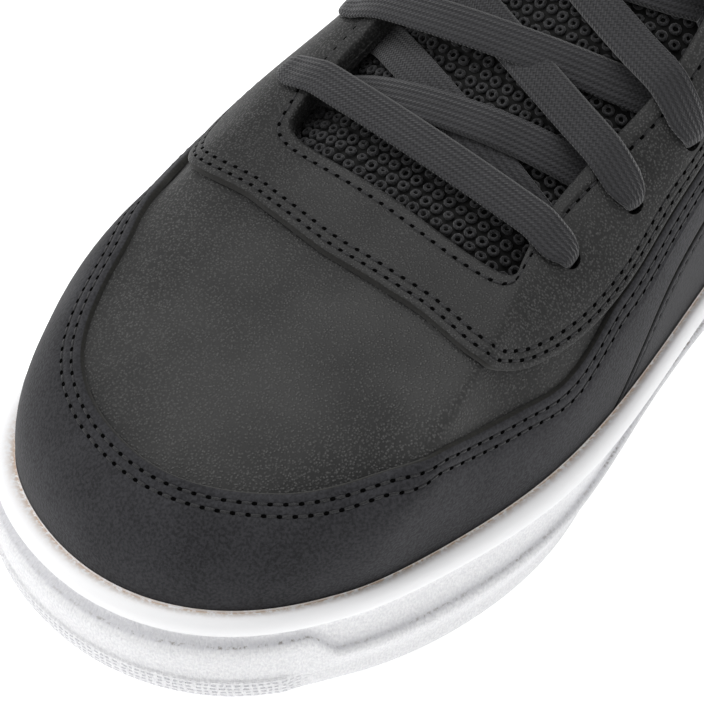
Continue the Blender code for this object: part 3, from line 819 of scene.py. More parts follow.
def lace_cloth():
    """Flat tubular weave: slanted ribs on wales along the lace, read from the ribbon's own UV."""
    dark, light = (0.006, 0.006, 0.007), (0.042, 0.042, 0.046)
    s = Shader("lace_cloth", (0.018, 0.018, 0.020), 0.8, 0.25)
    s.set("Sheen Weight", 0.3)
    along, across, _ = s.axes("UV")
    slant = s.math("PINGPONG", across, RIB_HALF_WIDTH)
    rib = s.wave(along + slant * RIB_SLANT, RIB_PITCH)
    weave = rib * 0.35 + s.wave(across, WALE_PITCH) * 0.65
    worn = s.ramp(s.noise(9.0, 2.0), 0.3, 0.7)
    s.colour(s.mix(weave * 0.6 + s.noise(0.5, 2.0) * 0.25 + worn * 0.15, dark, light))
    s.bump(weave, 0.32)
    return s.material


def near(s, height, level, reach):
    """Share of a thin line at one level of a height."""
    return s.ramp(s.math("ABSOLUTE", height - level), 0.0, reach, 1.0, 0.0)


def stippled(s, along, up):
    """Fine moulded stipple of short streaks and specks."""
    stretched = s.add("ShaderNodeCombineXYZ")
    s.link(along * 2.4, stretched.inputs[0])
    s.link(up * 1.1, stretched.inputs[1])
    streaks = s.add("ShaderNodeTexNoise", Scale=1.0, Detail=2.0, Roughness=0.6)
    s.link(stretched.outputs[0], streaks.inputs["Vector"])
    streak = s.ramp(Field(s, streaks.outputs["Fac"]), 0.40, 0.62)
    return streak * 0.6 + s.ramp(s.noise(0.7, 2.0, 0.6), 0.40, 0.64) * 0.4


def plate_dashes(s, along, up):
    """Rows of short dashes whose ends wander."""
    rows = s.wave(up, PLATE_ROW_PITCH, 0.1, 0.6)
    wander = along + s.noise(3.0, 1.0) * 2.0
    return rows * s.wave(wander, PLATE_DASH_PITCH, -0.3, 0.3)


def ridge_dirt(s, over_ridge):
    """Broken line of dirt along the ridge, mostly on the medial side."""
    broken = s.ramp(s.noise(1.3, 3.0, 0.7), 0.50, 0.60)
    patches = s.ramp(s.noise(22.0, 2.0), 0.44, 0.58)
    medial = s.ramp(s.axes("Object")[1], 0.0, 0.03, 0.3, 1.0)
    return near(s, over_ridge, 0.42, 0.26) * broken * s.ramp(patches, 0.0, 1.0, 0.35, 1.0) * medial


def white_rubber():
    """Moulded white rubber: smooth bright lip, stippled bands, dashed toe plate, glue line and dirt, with
    painted shade under the lip, above the ridge line and faintly over the side bands.
    """
    clean, band_shaded_white = (0.96, 0.96, 0.97), (0.93, 0.93, 0.94)
    shade, dirt, glue_brown = (0.60, 0.60, 0.64), (0.20, 0.17, 0.13), (0.46, 0.23, 0.05)
    s = Shader("white_rubber", clean, 0.5, 0.3)
    over_lip, over_ridge, glue, plate = (s.attribute(name) for name in SoleMark._fields)
    along, up, _ = s.axes("UV")
    band = s.ramp(over_lip, -0.7, -0.2, 1.0, 0.0)
    stipple = stippled(s, along, up) * band
    # Painted shade: a thin grey line along the lip's foot, under its overhang.
    lip_foot_shade = near(s, over_lip, -0.55, 0.5)
    # Painted shade: grey fading upward over the hollow band just above the ridge line, where it sits back
    # behind the ridge.
    hollow = s.ramp(over_ridge, 0.3, 3.2, 1.0, 0.0) * s.ramp(over_ridge, -0.1, 0.3)
    ribs = plate_dashes(s, along, up) * plate
    # Painted shade: the side bands below the lip are a little darker white than the lip.
    colour = s.mix(band, clean, band_shaded_white)
    # The grey gives the stipple and the plate dashes their tone, and is painted shade under the lip and above
    # the ridge line.
    for share in (stipple * 0.5, lip_foot_shade * 0.5, hollow * 0.45, ribs * 0.75):
        colour = s.mix(share, colour, shade)
    colour = s.mix(ridge_dirt(s, over_ridge), colour, dirt)
    ragged = glue * s.ramp(s.noise(1.0), 0.36, 0.56)
    s.colour(s.mix(ragged, colour, glue_brown))
    s.roughness(s.ramp(band, 0.0, 1.0, 0.42, 0.72))
    first = s.bump(stipple, 0.12)
    s.bump(1.0 - ribs, 0.3, after=first)
    return s.material


def floor_white():
    """Plain pale floor that keeps white under soft light."""
    s = Shader("floor_white", (0.92, 0.92, 0.92), 0.9, 0.0)
    s.set("Emission Color", (1.0, 1.0, 1.0, 1.0))
    s.set("Emission Strength", 0.54)
    return s.material


LEATHER = grain_leather("vamp_leather", (0.014, 0.014, 0.014), (0.094, 0.094, 0.092), 0.6, 0.19, 0.65)
STAY_LEATHER = grain_leather("eyestay_leather", (0.013, 0.013, 0.013), (0.082, 0.082, 0.081),
                             0.55, 0.17, 0.55)
GUARD_NUBUCK = nubuck("guard_nubuck", (0.010, 0.010, 0.012), (0.040, 0.040, 0.045))
FOXING_NUBUCK = nubuck("foxing_nubuck", (0.009, 0.009, 0.011), (0.032, 0.032, 0.036))
# Dark raw cut edge of the panels: partly its own dark edge colour, partly painted shade for the shadow line
# along each edge.
CUT_EDGE_SHADE = yarn("cut_edge_shade", (0.006, 0.006, 0.005), (0.018, 0.017, 0.014), 0.6)
LINING = yarn("lining_cloth", (0.016, 0.016, 0.017), (0.036, 0.036, 0.038), 0.7)
THREAD = yarn("thread", (0.012, 0.012, 0.013), (0.046, 0.046, 0.048), 0.25)
# Pitch black without sheen: painted shade for the inside of the needle holes.
NEEDLE_HOLE_SHADE = yarn("needle_hole_shade", (0.001, 0.001, 0.001), (0.004, 0.004, 0.004), shine=0.0)
MESH_YARN = yarn("mesh_yarn", (0.010, 0.010, 0.011), (0.056, 0.056, 0.059), 0.35)
# Black backing cloth, darker than the yarn: painted shade in the gaps between the mesh rings.
MESH_GROUND_SHADE = yarn("mesh_ground_shade", (0.003, 0.003, 0.003), (0.008, 0.008, 0.008), 0.8)
FOOTBED = yarn("footbed_cloth", (0.018, 0.018, 0.02), (0.05, 0.05, 0.052), 0.8)
LACE = lace_cloth()
RUBBER = white_rubber()


# Pieces


def unevenness(points):
    """Lift of the leather off the last: a soft dip behind the toe and slight waves."""
    trough = np.exp(-((points[..., 0] - DIP_X) / DIP_WIDTH) ** 2)
    dip = trough * smooth((points[..., 2] - DIP_FROM_Z) / DIP_RUN)
    waves = [noise.noise(Vector(p) * WAVE_SCALE) for p in points.reshape(-1, 3)]
    return WAVE_HEIGHT * np.array(waves).reshape(dip.shape) - DIP_DEPTH * dip


def collar_pad(u, below_edge):
    """Thickness of the padding inside the collar at distances below its edge."""
    collar = smooth((folded(u) - COLLAR_ROW) / COLLAR_ROWS)[:, None]
    return COLLAR_PAD * collar * smooth((PAD_REACH - below_edge) / PAD_FADE) * smooth(below_edge / PAD_TOP)


def make_upper():
    """Lasted shell with a soft dip behind the toe, a padded collar and a cloth lining."""
    u = np.arange(0, ROWS, UPPER_STEP)
    height = wall_height(u)[:, None]
    share = np.concatenate([np.linspace(0, 0.9, 34), np.linspace(0.92, 1, 8)])
    distance = height * share
    calm = smooth(distance / CALM_MARGIN) * smooth((height - distance) / CALM_MARGIN)
    outer = on_wall(u, distance, unevenness(on_wall(u, distance, 0.0)) * calm)
    rim = on_wall(u, height + COLLAR_RIM, np.full_like(height, -WALL / 2))
    inner_distance = height * np.linspace(1, 0, 26)
    inner = on_wall(u, inner_distance, -WALL - collar_pad(u, height - inner_distance))
    grid = np.concatenate([outer, rim, inner], axis=1)
    columns = grid.shape[1]
    faces = grid_faces(len(u), columns, True, True)
    upper = add_mesh("upper_shell", grid.reshape(-1, 3), faces, [LEATHER, LINING])
    paint_faces(upper, np.tile(np.arange(columns) > len(share), len(u)))
    punch(upper)
    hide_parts("upper")


def skived(inset, skive):
    """Height of a panel's face, thinned towards its cut edge."""
    return PANEL_TOP - skive * np.exp(-inset / SKIVE_REACH)


def rim_height(inset, skive=0.0):
    """Height of a panel's face at a distance in from its cut edge, rounded over and sunk at the edge."""
    share = np.clip(inset / RIM_RADIUS, 0, 1)
    return (skived(inset, skive) + RIM_SUNK) * np.sqrt(1 - (1 - share) ** 2) - RIM_SUNK


def seam_groove(inset, rows):
    """Depth pulled down by the stitch rows, with the leather puffed a little between edge and seam."""
    depth = sum(SEAM_DEPTH * np.exp(-((inset - row) / SEAM_WIDTH) ** 2) for row in rows)
    puff = PUFF_HEIGHT * np.exp(-((inset / rows[0] - PUFF_PLACE) / PUFF_SPREAD) ** 2)
    return puff - depth


def sewn_edge(skive, seam_rows):
    """Heights of a panel's face over the edge columns, with its stitch rows pulled in."""
    off_rim = EDGE_COLUMNS > RIM_CLEAR
    return rim_height(EDGE_COLUMNS, skive) + seam_groove(EDGE_COLUMNS, seam_rows) * off_rim


def square_factor(u, edge, limit):
    """How much longer a step along the wall is than the step square to the panel's edge."""
    below, points, above = on_wall(u, edge[:, None] + np.array([-0.5, 0.0, 0.5]), 0.0).transpose(1, 0, 2)
    cosine = (unit(np.gradient(points, axis=0)) * unit(above - below)).sum(axis=1)
    return 1 / np.sqrt(np.maximum(1 - cosine ** 2, limit ** -2))


def make_panel(name, u, low, high, seam_rows, skive, finish, node):
    """Nubuck overlay between two lines on the upper, its upper edge thinned and sewn."""
    width = np.maximum(high - low, LEAST_WIDTH)
    fit = np.minimum(1.0, width / (EDGES_SHARE * EDGE_COLUMNS[-1]))[:, None]
    start = low[:, None] + EDGE_COLUMNS * fit * square_factor(u, low, PANEL_SLANT)[:, None]
    end = high[:, None] - EDGE_COLUMNS * fit * square_factor(u, high, PANEL_SLANT)[:, None]
    middle = np.linspace(0, 1, PANEL_COLUMNS)[1:-1]
    between = start[:, -1:] + (end[:, -1:] - start[:, -1:]) * middle
    distance = np.concatenate([start, between, end[:, ::-1]], axis=1)
    profile = np.concatenate([rim_height(EDGE_COLUMNS), np.full(len(middle), PANEL_TOP),
                              sewn_edge(skive, seam_rows)[::-1]])
    ends = smooth(np.minimum(u - u[0], u[-1] - u) / (2 * PANEL_STEP))
    shown = (np.clip(width / NARROW_WIDTH, 0, 1) * ends)[:, None]
    points = on_wall(u, distance, profile * shown - RIM_SUNK * (1 - shown))
    columns = len(profile)
    faces = grid_faces(len(u), columns)
    piece = add_mesh(name, points.reshape(-1, 3), faces, [finish, CUT_EDGE_SHADE])
    # The columns at the upper edge take the cut-edge colour, partly painted shade along the edge.
    paint_faces(piece, np.tile(np.arange(1, columns) >= columns - CUT_EDGE_SHADE_COLUMNS, len(u) - 1))
    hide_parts(node)


def guard_edges(u):
    """Lower and upper line of the toe guard."""
    high = np.minimum(guard_edge(u), wall_height(u) - panel_edge(u, "eyestay") - PANEL_SEAM)
    low = np.where(folded(u) >= FOXING_ROW, panel_edge(u, "foxing") + PANEL_SEAM, PANEL_FOOT)
    return eased(low), eased(high)


def panel_rows(first, last):
    """Fine steps of u from one end of a panel to the other."""
    return np.arange(first, last + PANEL_STEP / 2, PANEL_STEP)


def make_guard():
    """Toe guard in nubuck with two rows of stitches along its upper edge."""
    u = panel_rows(-GUARD_ROWS, GUARD_ROWS)
    low, high = guard_edges(u)
    make_panel("toe_guard_skin", u, low, high, SEAM_ROWS, GUARD_SKIVE, GUARD_NUBUCK, "toe_guard")


def make_foxing():
    """Heel overlay with a cut front edge that shows its thickness."""
    u = panel_rows(FOXING_ROW, ROWS - FOXING_ROW)
    low = np.full(len(u), PANEL_FOOT)
    high = eased(panel_edge(u, "foxing"))
    make_panel("foxing_skin", u, low, high, SEAM_ROWS[:1], 0.0, FOXING_NUBUCK, "foxing")


def stay_edge(u):
    """Outer edge of the eyestay, and how far up the wall a millimetre of inset from it goes."""
    edge = eased(wall_height(u) - panel_edge(u, "eyestay"))
    return edge, STAY_INSET * square_factor(u, edge, STAY_SLANT)


def beside_throat(u):
    """Share that is 0 at the throat's front and 1 along its sides."""
    return smooth((np.abs(u) - THROAT_CORNER_ROW) / THROAT_CORNER_ROWS)


def throat_seam(u):
    """Distance of the stitches from the throat edge: close at the front, behind the folded lip beside it."""
    return THROAT_SEAM_FRONT + (THROAT_SEAM_SIDE - THROAT_SEAM_FRONT) * beside_throat(u)


def make_eyestay():
    """Lace panel with stitched outer edge and its inner edge folded over the throat."""
    u = panel_rows(-EYESTAY_ROWS, EYESTAY_ROWS)
    height = wall_height(u)[:, None]
    edge, factor = stay_edge(u)
    sewn = edge[:, None] + EDGE_COLUMNS * factor[:, None]
    seam = throat_seam(u)[:, None]
    lip = THROAT_LIP * smooth((seam - THROAT_COLUMNS) / THROAT_LIP_RUN) * beside_throat(u)[:, None]
    groove = SEAM_DEPTH * np.exp(-((THROAT_COLUMNS - seam) / SEAM_WIDTH) ** 2)
    start, end = sewn[:, -1:], height - THROAT_COLUMNS[0]
    middle = start + (end - start) * np.linspace(0, 1, STAY_COLUMNS)[1:-1]
    distance = np.concatenate([sewn, middle, height - THROAT_COLUMNS, height - THROAT_FOLD[:, 0]], axis=1)
    lift = np.concatenate([np.broadcast_to(sewn_edge(STAY_SKIVE, SEAM_ROWS), sewn.shape),
                           np.full(middle.shape, PANEL_TOP), PANEL_TOP + lip - groove,
                           PANEL_TOP + lip[:, -1:] + THROAT_FOLD[:, 1]], axis=1)
    outer = on_wall(u, distance, lift)
    back = on_wall(u, distance[:, ::-3], np.minimum(lift[:, ::-3] - STAY_THICKNESS, GAP))
    grid = np.concatenate([outer, back], axis=1)
    columns = grid.shape[1]
    faces = tube_faces(len(u), columns)
    stay = add_mesh("eyestay_skin", grid.reshape(-1, 3), faces, [STAY_LEATHER, CUT_EDGE_SHADE])
    # The columns at the outer edge take the cut-edge colour, partly painted shade along the edge.
    rim = np.tile(np.arange(columns) < CUT_EDGE_SHADE_COLUMNS, len(u) - 1)
    paint_faces(stay, np.concatenate([rim, [False, False]]))
    punch(stay)
    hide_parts("eyestay")


def stitch_line(u, distance, lift):
    """One sewn row of threads, each with a needle hole before it."""
    points, out = wall_frame(u, distance[:, None])
    path = points[:, 0] + lift * out[:, 0]
    run = run_along(path)
    begin = STITCH_START + STITCH_PITCH * np.arange(int(run[-1] / STITCH_PITCH))
    start, end, hole = (read_at(begin + step, run, path) for step in (0.0, STITCH_LENGTH, -HOLE_BEFORE))
    up = unit(read_at(begin + STITCH_LENGTH / 2, run, out[:, 0]))
    return [Stitch(*spots) for spots in zip(start, end, hole, up)]


def add_threads(stitches):
    """All stitches as one piece, each a short plump thread."""
    cosines, sines = circle(THREAD_SIDES)
    points, faces = [], []
    for s in stitches:
        across = unit(np.cross(s.end - s.start, s.up))
        spokes = THREAD_RADIUS * (THREAD_SPREAD * cosines * across + sines * s.up)
        faces += tube_faces(len(THREAD_STATIONS), THREAD_SIDES, len(points))
        for along, size, rise in THREAD_STATIONS:
            centre = s.start + (s.end - s.start) * along + rise * THREAD_RADIUS * s.up
            points += list(centre + size * spokes)
    add_mesh("stitches", points, faces, [THREAD], 80.0)


def add_needle_hole_shades(stitches):
    """Painted shade of the needle holes between the stitches: one small pitch-black oval each, set just over
    the groove.
    """
    cosines, sines = circle(HOLE_SIDES)
    points, faces = [], []
    for s in stitches:
        along = unit(s.end - s.start)
        faces.append(tuple(range(len(points), len(points) + HOLE_SIDES)))
        oval = HOLE_LENGTH / 2 * cosines * along + HOLE_WIDTH / 2 * sines * np.cross(s.up, along)
        points += list(s.hole + oval + HOLE_LIFT * s.up)
    add_mesh("needle_hole_shades", points, faces, [NEEDLE_HOLE_SHADE])


def make_stitches():
    """Double rows on guard and eyestay, a single row round the throat and along the foxing."""
    sunk = THREAD_PROUD - SEAM_DEPTH
    made = []
    u = np.arange(-GUARD_ROWS + GUARD_SEAM_END, GUARD_ROWS - GUARD_SEAM_END, PANEL_STEP)
    low, high = guard_edges(u)
    kept = (high - low) > SEWN_WIDTH
    factor = square_factor(u, high, PANEL_SLANT)
    for row in SEAM_ROWS:
        made += stitch_line(u[kept], (high - row * factor)[kept], skived(row, GUARD_SKIVE) + sunk)
    u = np.arange(-EYESTAY_ROWS + STAY_SEAM_END, EYESTAY_ROWS - STAY_SEAM_END, PANEL_STEP)
    edge, factor = stay_edge(u)
    for row in SEAM_ROWS:
        made += stitch_line(u, edge + row * factor, skived(row, STAY_SKIVE) + sunk)
    made += stitch_line(u, wall_height(u) - throat_seam(u), PANEL_TOP + sunk)
    u = np.arange(FOXING_ROW + FOXING_SEAM_END, ROWS - FOXING_ROW - FOXING_SEAM_END, PANEL_STEP)
    high = eased(panel_edge(u, "foxing"))
    made += stitch_line(u, high - SEAM_ROWS[0] * square_factor(u, high, PANEL_SLANT), PANEL_TOP + sunk)
    add_threads(made)
    add_needle_hole_shades(made)


def make_insole():
    """Footbed, dished a little towards its middle."""
    u = np.arange(0, ROWS, INSOLE_STEP)
    _, foot, out, _ = foot_line(u)
    edge = foot - out * (WALL + GAP + INSOLE_CLEARANCE)
    middle = edge * np.array([1.0, 0.0, 1.0]) + np.array([0.0, INSOLE_MIDDLE_Y, 0.0])
    rings = []
    for share, rise in INSOLE_RINGS:
        ring = middle + (edge - middle) * share
        ring[:, 2] = floor_z(ring[:, 0]) + GAP + INSOLE_THICKNESS + rise
        rings.append(ring)
    count, columns = len(u), len(rings)
    faces = grid_faces(count, columns, True)
    for i in range(1, count // 2):
        facing = (i - 1, i, count - i, (count - i + 1) % count)
        faces.append(tuple(k * columns + columns - 1 for k in facing))
    insole = add_mesh("insole_pad", np.stack(rings, axis=1).reshape(-1, 3), faces, [FOOTBED])
    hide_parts("insole")


def throat_up(row, other):
    """Way out of the throat, square to the line between its two edges."""
    up = from_throat(row, 0.0, 0.0)[1] + from_throat(other, 0.0, 0.0)[1]
    up[1] = 0.0
    return unit(up)


def tongue_section(row, across):
    """Points across the tongue's outer face at one row, at shares that are 1 at the throat edges."""
    medial, lateral = (from_throat(side * row, 0.0, -TONGUE_DEPTH)[0] for side in (1, -1))
    out_medial, out_lateral = (from_throat(side * row, TONGUE_MARGIN, -TONGUE_DEPTH)[0] for side in (1, -1))
    share = np.clip(across, -1, 1)[:, None]
    span = lateral + (medial - lateral) * (share + 1) / 2
    span = span + (TONGUE_DEPTH + TONGUE_CREST) * (1 - share ** 4) * throat_up(-row, row)
    beyond = (np.abs(across) - 1)[:, None] / (TONGUE_REACH - 1)
    margin = np.where(across[:, None] > 0, out_medial - medial, out_lateral - lateral)
    return span + np.maximum(beyond, 0) * margin


def tongue_end(section, end):
    """A section moved past the tongue's last row and narrowed."""
    middle = section.mean(axis=0)
    moved = middle + (section - middle) * np.array([1.0, end.narrow, end.narrow])
    return moved + np.array([end.forward, 0.0, -end.drop])


def tongue_grid():
    """Sections of the tongue's outer face from under the vamp to above the collar's front."""
    across = np.linspace(-TONGUE_REACH, TONGUE_REACH, TONGUE_COLUMNS)
    rows = np.arange(TONGUE_FIRST_ROW, TONGUE_LAST_ROW + TONGUE_STEP / 2, TONGUE_STEP)
    body = [tongue_section(row, across) for row in rows]
    front = [tongue_end(body[0], end) for end in TONGUE_TOE_END]
    back = [tongue_end(body[-1], end) for end in TONGUE_TOP_END]
    return np.array(front + body + back)


def steps_to_edge(count):
    """Steps from each of a row of points to the nearer end of the row."""
    return np.minimum(np.arange(count), np.arange(count)[::-1])


def make_tongue():
    """Padded tongue: dark ground under a layer of knitted rings, made near-black as painted shade between the
    rings.
    """
    outer = tongue_grid()
    rows, columns = outer.shape[:2]
    normal = unit(np.cross(np.gradient(outer, axis=1), np.gradient(outer, axis=0)))
    edge = np.minimum(steps_to_edge(rows)[:, None] / 2, steps_to_edge(columns) / 3)
    plump = np.sqrt(np.clip(edge, 0.05, 1.0))[..., None]
    inner = outer - normal * TONGUE_PADDING * plump
    ground = outer - normal * (MESH_THICKNESS + TONGUE_EDGE_TUCK * (1 - plump))
    shell = np.concatenate([ground, inner[:, ::-1]], axis=1)
    faces = flipped(tube_faces(rows, 2 * columns))
    pad = add_mesh("tongue_pad", shell.reshape(-1, 3), faces, [MESH_GROUND_SHADE])
    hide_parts("tongue")
    add_mesh_rings(outer, normal)


def mesh_ring(spot, ahead, up):
    """Points of one knitted ring, a little off its place, tilt and size."""
    shake = np.array(noise.noise_vector(Vector(spot) * MESH_SHAKE_SCALE))
    first = unit(ahead - spot)
    up = unit(up + MESH_TILT * shake)
    second = np.cross(up, first)
    size = MESH_RING_RADIUS * (1 + MESH_SIZE_SHAKE * shake[0])
    centre = spot + MESH_PLACE_SHAKE * shake - MESH_SUNK * up
    cosines, sines = circle(MESH_RING_STEPS)
    side_cosines, side_sines = circle(MESH_YARN_SIDES)
    spokes = (cosines * first + MESH_RING_FLATNESS * sines * second)[:, None]
    yarn_out = size + MESH_YARN_RADIUS * side_cosines
    return (centre + spokes * yarn_out + MESH_YARN_HEIGHT * side_sines * up).reshape(-1, 3)


def add_mesh_rings(outer, normal):
    """Rings of the spacer mesh in staggered rows over the tongue's face."""
    rows, columns = outer.shape[:2]
    along = run_along(outer[:, columns // 2])
    noise.seed_set(MESH_SEED)
    points, faces = [], []
    for number, a in enumerate(np.arange(MESH_FIRST_ROW, along[-1] - MESH_END, MESH_PITCH_ALONG)):
        place = np.interp(a, along, np.arange(rows))
        low = min(int(place), rows - 2)
        share = place - low
        line, ups = (grid[low] * (1 - share) + grid[low + 1] * share for grid in (outer, normal))
        run = run_along(line)
        stagger = 0.5 * MESH_PITCH_ACROSS * (number % 2)
        where = np.arange(MESH_FIRST_RING + stagger, run[-1] - MESH_END, MESH_PITCH_ACROSS)
        spots, aheads = (read_at(where + step, run, line) for step in (0.0, MESH_AHEAD))
        for spot, ahead, up in zip(spots, aheads, unit(read_at(where, run, ups))):
            faces += grid_faces(MESH_RING_STEPS, MESH_YARN_SIDES, True, True, len(points))
            points += list(mesh_ring(spot, ahead, up))
    add_mesh("tongue_rings", points, faces, [MESH_YARN], 180.0)


def crossing_row(row, other_row):
    """Row where the straight line between two holes passes the throat edge on the first one's side."""
    start, end = (from_throat(hole, EYELET_SET_BACK, 0.0)[0] for hole in (row, other_row))
    rows = np.copysign(THROAT_ROWS, row)
    away = closed_spline(LAST, rows)[:, 2:4] - start[:2]
    run = end - start
    beside = away[:, 0] * run[1] - away[:, 1] * run[0]
    order = np.argsort(beside)
    return np.interp(0.0, beside[order], rows[order])


def lace_points(row, other_row, stops):
    """The lace on its line from one hole towards another, at stops of set-back, lift and width."""
    edge = crossing_row(row, other_row)
    made = []
    for set_back, lift, width in stops:
        place, up = from_throat(edge + (row - edge) * set_back / EYELET_SET_BACK, set_back, lift)
        made.append(LacePoint(place, up, width))
    return made


def hole_pass(row, outer_row, inner_row):
    """The lace bunched through one hole, from its outer strand to its inner one."""
    return lace_points(row, outer_row, LACE_INTO_HOLE) + lace_points(row, inner_row, LACE_OUT_OF_HOLE)


def over_wall(row, other_row):
    """The lace lying on the eyestay, from beside its hole to the throat edge."""
    fall = (LACE_EDGE_OVER - LACE_OVER) / LACE_OVER_SHARES[0]
    stops = [(share * EYELET_SET_BACK, LACE_EDGE_OVER - fall * share, 1.0) for share in LACE_OVER_SHARES]
    return lace_points(row, other_row, stops)


def under_wall(row, other_row):
    """The lace tucked between the eyestay's edge and the tongue, from the throat edge towards its hole."""
    stops = [(share * EYELET_SET_BACK, LACE_UNDER, 1.0) for share in LACE_UNDER_SHARES]
    return lace_points(row, other_row, stops)


def across_throat(start, end, start_row, end_row, crest):
    """The lace's free span over the tongue, arched to its crest."""
    edge_rows = (crossing_row(start_row, end_row), crossing_row(end_row, start_row))
    edges = np.mean([from_throat(side * row, 0.0, 0.0)[0] for row in edge_rows for side in (1, -1)], axis=0)
    rise = edges + crest * throat_up(*edge_rows) - (start.place + end.place) / 2
    made = []
    for share in LACE_SHARES:
        arch = 1 - abs(2 * share - 1) ** LACE_ARCH_POWER
        place = start.place + (end.place - start.place) * share + arch * rise
        made.append(LacePoint(place, start.up + (end.up - start.up) * share, 1.0))
    return made


def lace_half(side):
    """One half of the lace, from its first hole up to the top one, changing sides at each crossing."""
    holes = [side * row * (-1) ** number for number, row in enumerate(EYELET_ROWS)]
    route = hole_pass(holes[0], -holes[0], holes[1])
    for number, (start_row, end_row) in enumerate(zip(holes[:-1], holes[1:])):
        crest = LACE_CREST + (LACE_OVER_LACE if start_row < 0 else 0.0)
        if number == 0:
            leaving = under_wall(start_row, end_row)[::-1]
        else:
            leaving = hole_pass(start_row, end_row, holes[number - 1])[::-1] + over_wall(start_row, end_row)
        arriving = under_wall(end_row, start_row)
        route += leaving + across_throat(leaving[-1], arriving[0], start_row, end_row, crest) + arriving
    return route + hole_pass(holes[-1], -holes[-1], holes[-2])[:2:-1]


def lace_bar():
    """The straight bar on the outside between the lowest two holes."""
    first = EYELET_ROWS[0]
    leaving = over_wall(-first, first)
    arriving = over_wall(first, -first)[::-1]
    return leaving + across_throat(leaving[-1], arriving[0], -first, first, LACE_BAR_CREST) + arriving


def smooth_route(route):
    """Path, ways up and widths of the lace along a smooth curve through its points, in even steps."""
    keys, ups, widths = (np.array(values) for values in zip(*route))
    chord = np.sqrt(np.linalg.norm(np.diff(keys, axis=0), axis=1))
    knots = np.concatenate([[0], np.cumsum(chord)])
    fine = np.linspace(0, knots[-1], 40 * len(keys))
    path = hermite(knots, keys, fine)
    run = run_along(path)
    where = np.arange(0, run[-1], LACE_STEP)
    at = np.interp(where, run, fine)
    return read_at(where, run, path), unit(read_at(at, knots, ups)), np.interp(at, knots, widths)


def make_lace():
    """One flat woven lace, run through all the holes; its ends stop at the top pair."""
    path, up, width = smooth_route(lace_half(-1)[::-1] + lace_bar() + lace_half(1))
    ahead = unit(np.gradient(path, axis=0))
    across = unit(np.cross(up, ahead))
    up = np.cross(ahead, across)
    cosines, sines = circle(LACE_SIDES)
    flat = np.sign(cosines) * np.abs(cosines) ** LACE_FLAT_POWER
    tall = np.sign(sines) * np.abs(sines) ** LACE_TALL_POWER
    half = LACE_WIDTH / 2 * width[:, None, None]
    thick = LACE_THICKNESS / 2 / np.maximum(width, LACE_LEAST_SHARE)[:, None, None]
    grid = path[:, None] + half * flat * across[:, None] + thick * tall * up[:, None]
    faces = tube_faces(len(path), LACE_SIDES)
    lace = add_mesh("lace", grid.reshape(-1, 3), faces, [LACE], 180.0)
    run = run_along(path)
    uv = np.stack(np.broadcast_arrays(run[:, None], flat[:, 0] * LACE_WIDTH / 2), axis=-1)
    set_uv(lace, uv.reshape(-1, 2))
    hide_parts("lace_bar", "lace_cross_1", "lace_cross_2", "lace_cross_3", "lace_cross_4")
    print("lace length between its ends, mm:", round(float(run[-1])))


def side_levels(u, x):
    """Levels of the lip's foot and of the ridge line at each u, for columns of points at x."""
    lip_foot = floor_z(closed_spline(LAST, u)[:, :1]) + LIP_RISE + LIP_FOOT_RISE
    drop = smooth((folded(u) - RIDGE_DROP_ROW) / RIDGE_DROP_ROWS)[:, None]
    share = RIDGE_TOE_SHARE + (RIDGE_SIDE_SHARE - RIDGE_TOE_SHARE) * drop
    bottom = bottom_z(x)
    return np.broadcast_to(lip_foot, x.shape), bottom + share * (lip_foot - bottom)


def sole_rings(u):
    """Rings of the sole from the edge of the cup's floor over the lip and down the side, with glue shares."""
    row, _, out, _ = foot_line(u)
    stand = closed_spline(SOLE, u)
    rings, glue = [], []
    for reach in (0.0, CUP_REACH / 2, CUP_REACH):
        ring = on_wall(u, np.full((len(u), 1), reach), 0.0)[:, 0] + CUP_CLEARANCE * out
        ring[:, 2] -= GAP
        rings.append(ring)
        glue.append(0.0)
    cup = rings[-1]
    plate = TOE_PLATE_STEP * (1 - smooth((folded(u) - TOE_PLATE_ROW) / TOE_PLATE_ROWS))
    for r in SIDE_RINGS:
        step = r.lip * stand[:, 0] + r.low * stand[:, 1] + r.step
        if r.name in PLATE_RINGS:
            step = step + plate
        ring = cup + step[:, None] * out
        levels = {"lip": floor_z(row[:, 0]) + LIP_RISE, "ridge": side_levels(u, ring[:, :1])[1][:, 0],
                  "bottom": bottom_z(ring[:, 0])}
        ring[:, 2] = levels[r.level] + r.rise
        rings.append(ring)
        glue.append(GLUE.get(r.name, 0.0))
    return np.stack(rings), np.array(glue)


def cut_corners(rows, times):
    """A profile's rows with the corner at each inner row cut off, a number of times."""
    for _ in range(times):
        near_first = 0.75 * rows[:-1] + 0.25 * rows[1:]
        near_second = 0.25 * rows[:-1] + 0.75 * rows[1:]
        cut = np.stack([near_first, near_second], axis=1).reshape(-1, *rows.shape[1:])
        rows = np.concatenate([rows[:1], cut, rows[-1:]])
    return rows


def groove_rise(x, rim):
    """How far the tread is cut up at x, clear of its rim."""
    starts = [FOREFOOT_GROOVE_X + GROOVE_PITCH * i for i in range(FOREFOOT_GROOVES)]
    starts += [HEEL_GROOVE_X + GROOVE_PITCH * i for i in range(HEEL_GROOVES)]
    away = np.min(np.abs(x[..., None] - np.array(starts)), axis=-1)
    inside = smooth(((GROOVE_WIDTH + GROOVE_SLOPE) / 2 - away) / GROOVE_SLOPE)
    return GROOVE_DEPTH * inside * smooth((rim - GROOVE_RIM) / GROOVE_RUN_OUT + 1)


def run_from_toe(loop):
    """Length along a closed loop from its first point, counted the shorter way round."""
    steps = np.linalg.norm(np.roll(loop, -1, axis=0) - loop, axis=1)
    run = np.concatenate([[0], np.cumsum(steps)[:-1]])
    return np.minimum(run, steps.sum() - run)


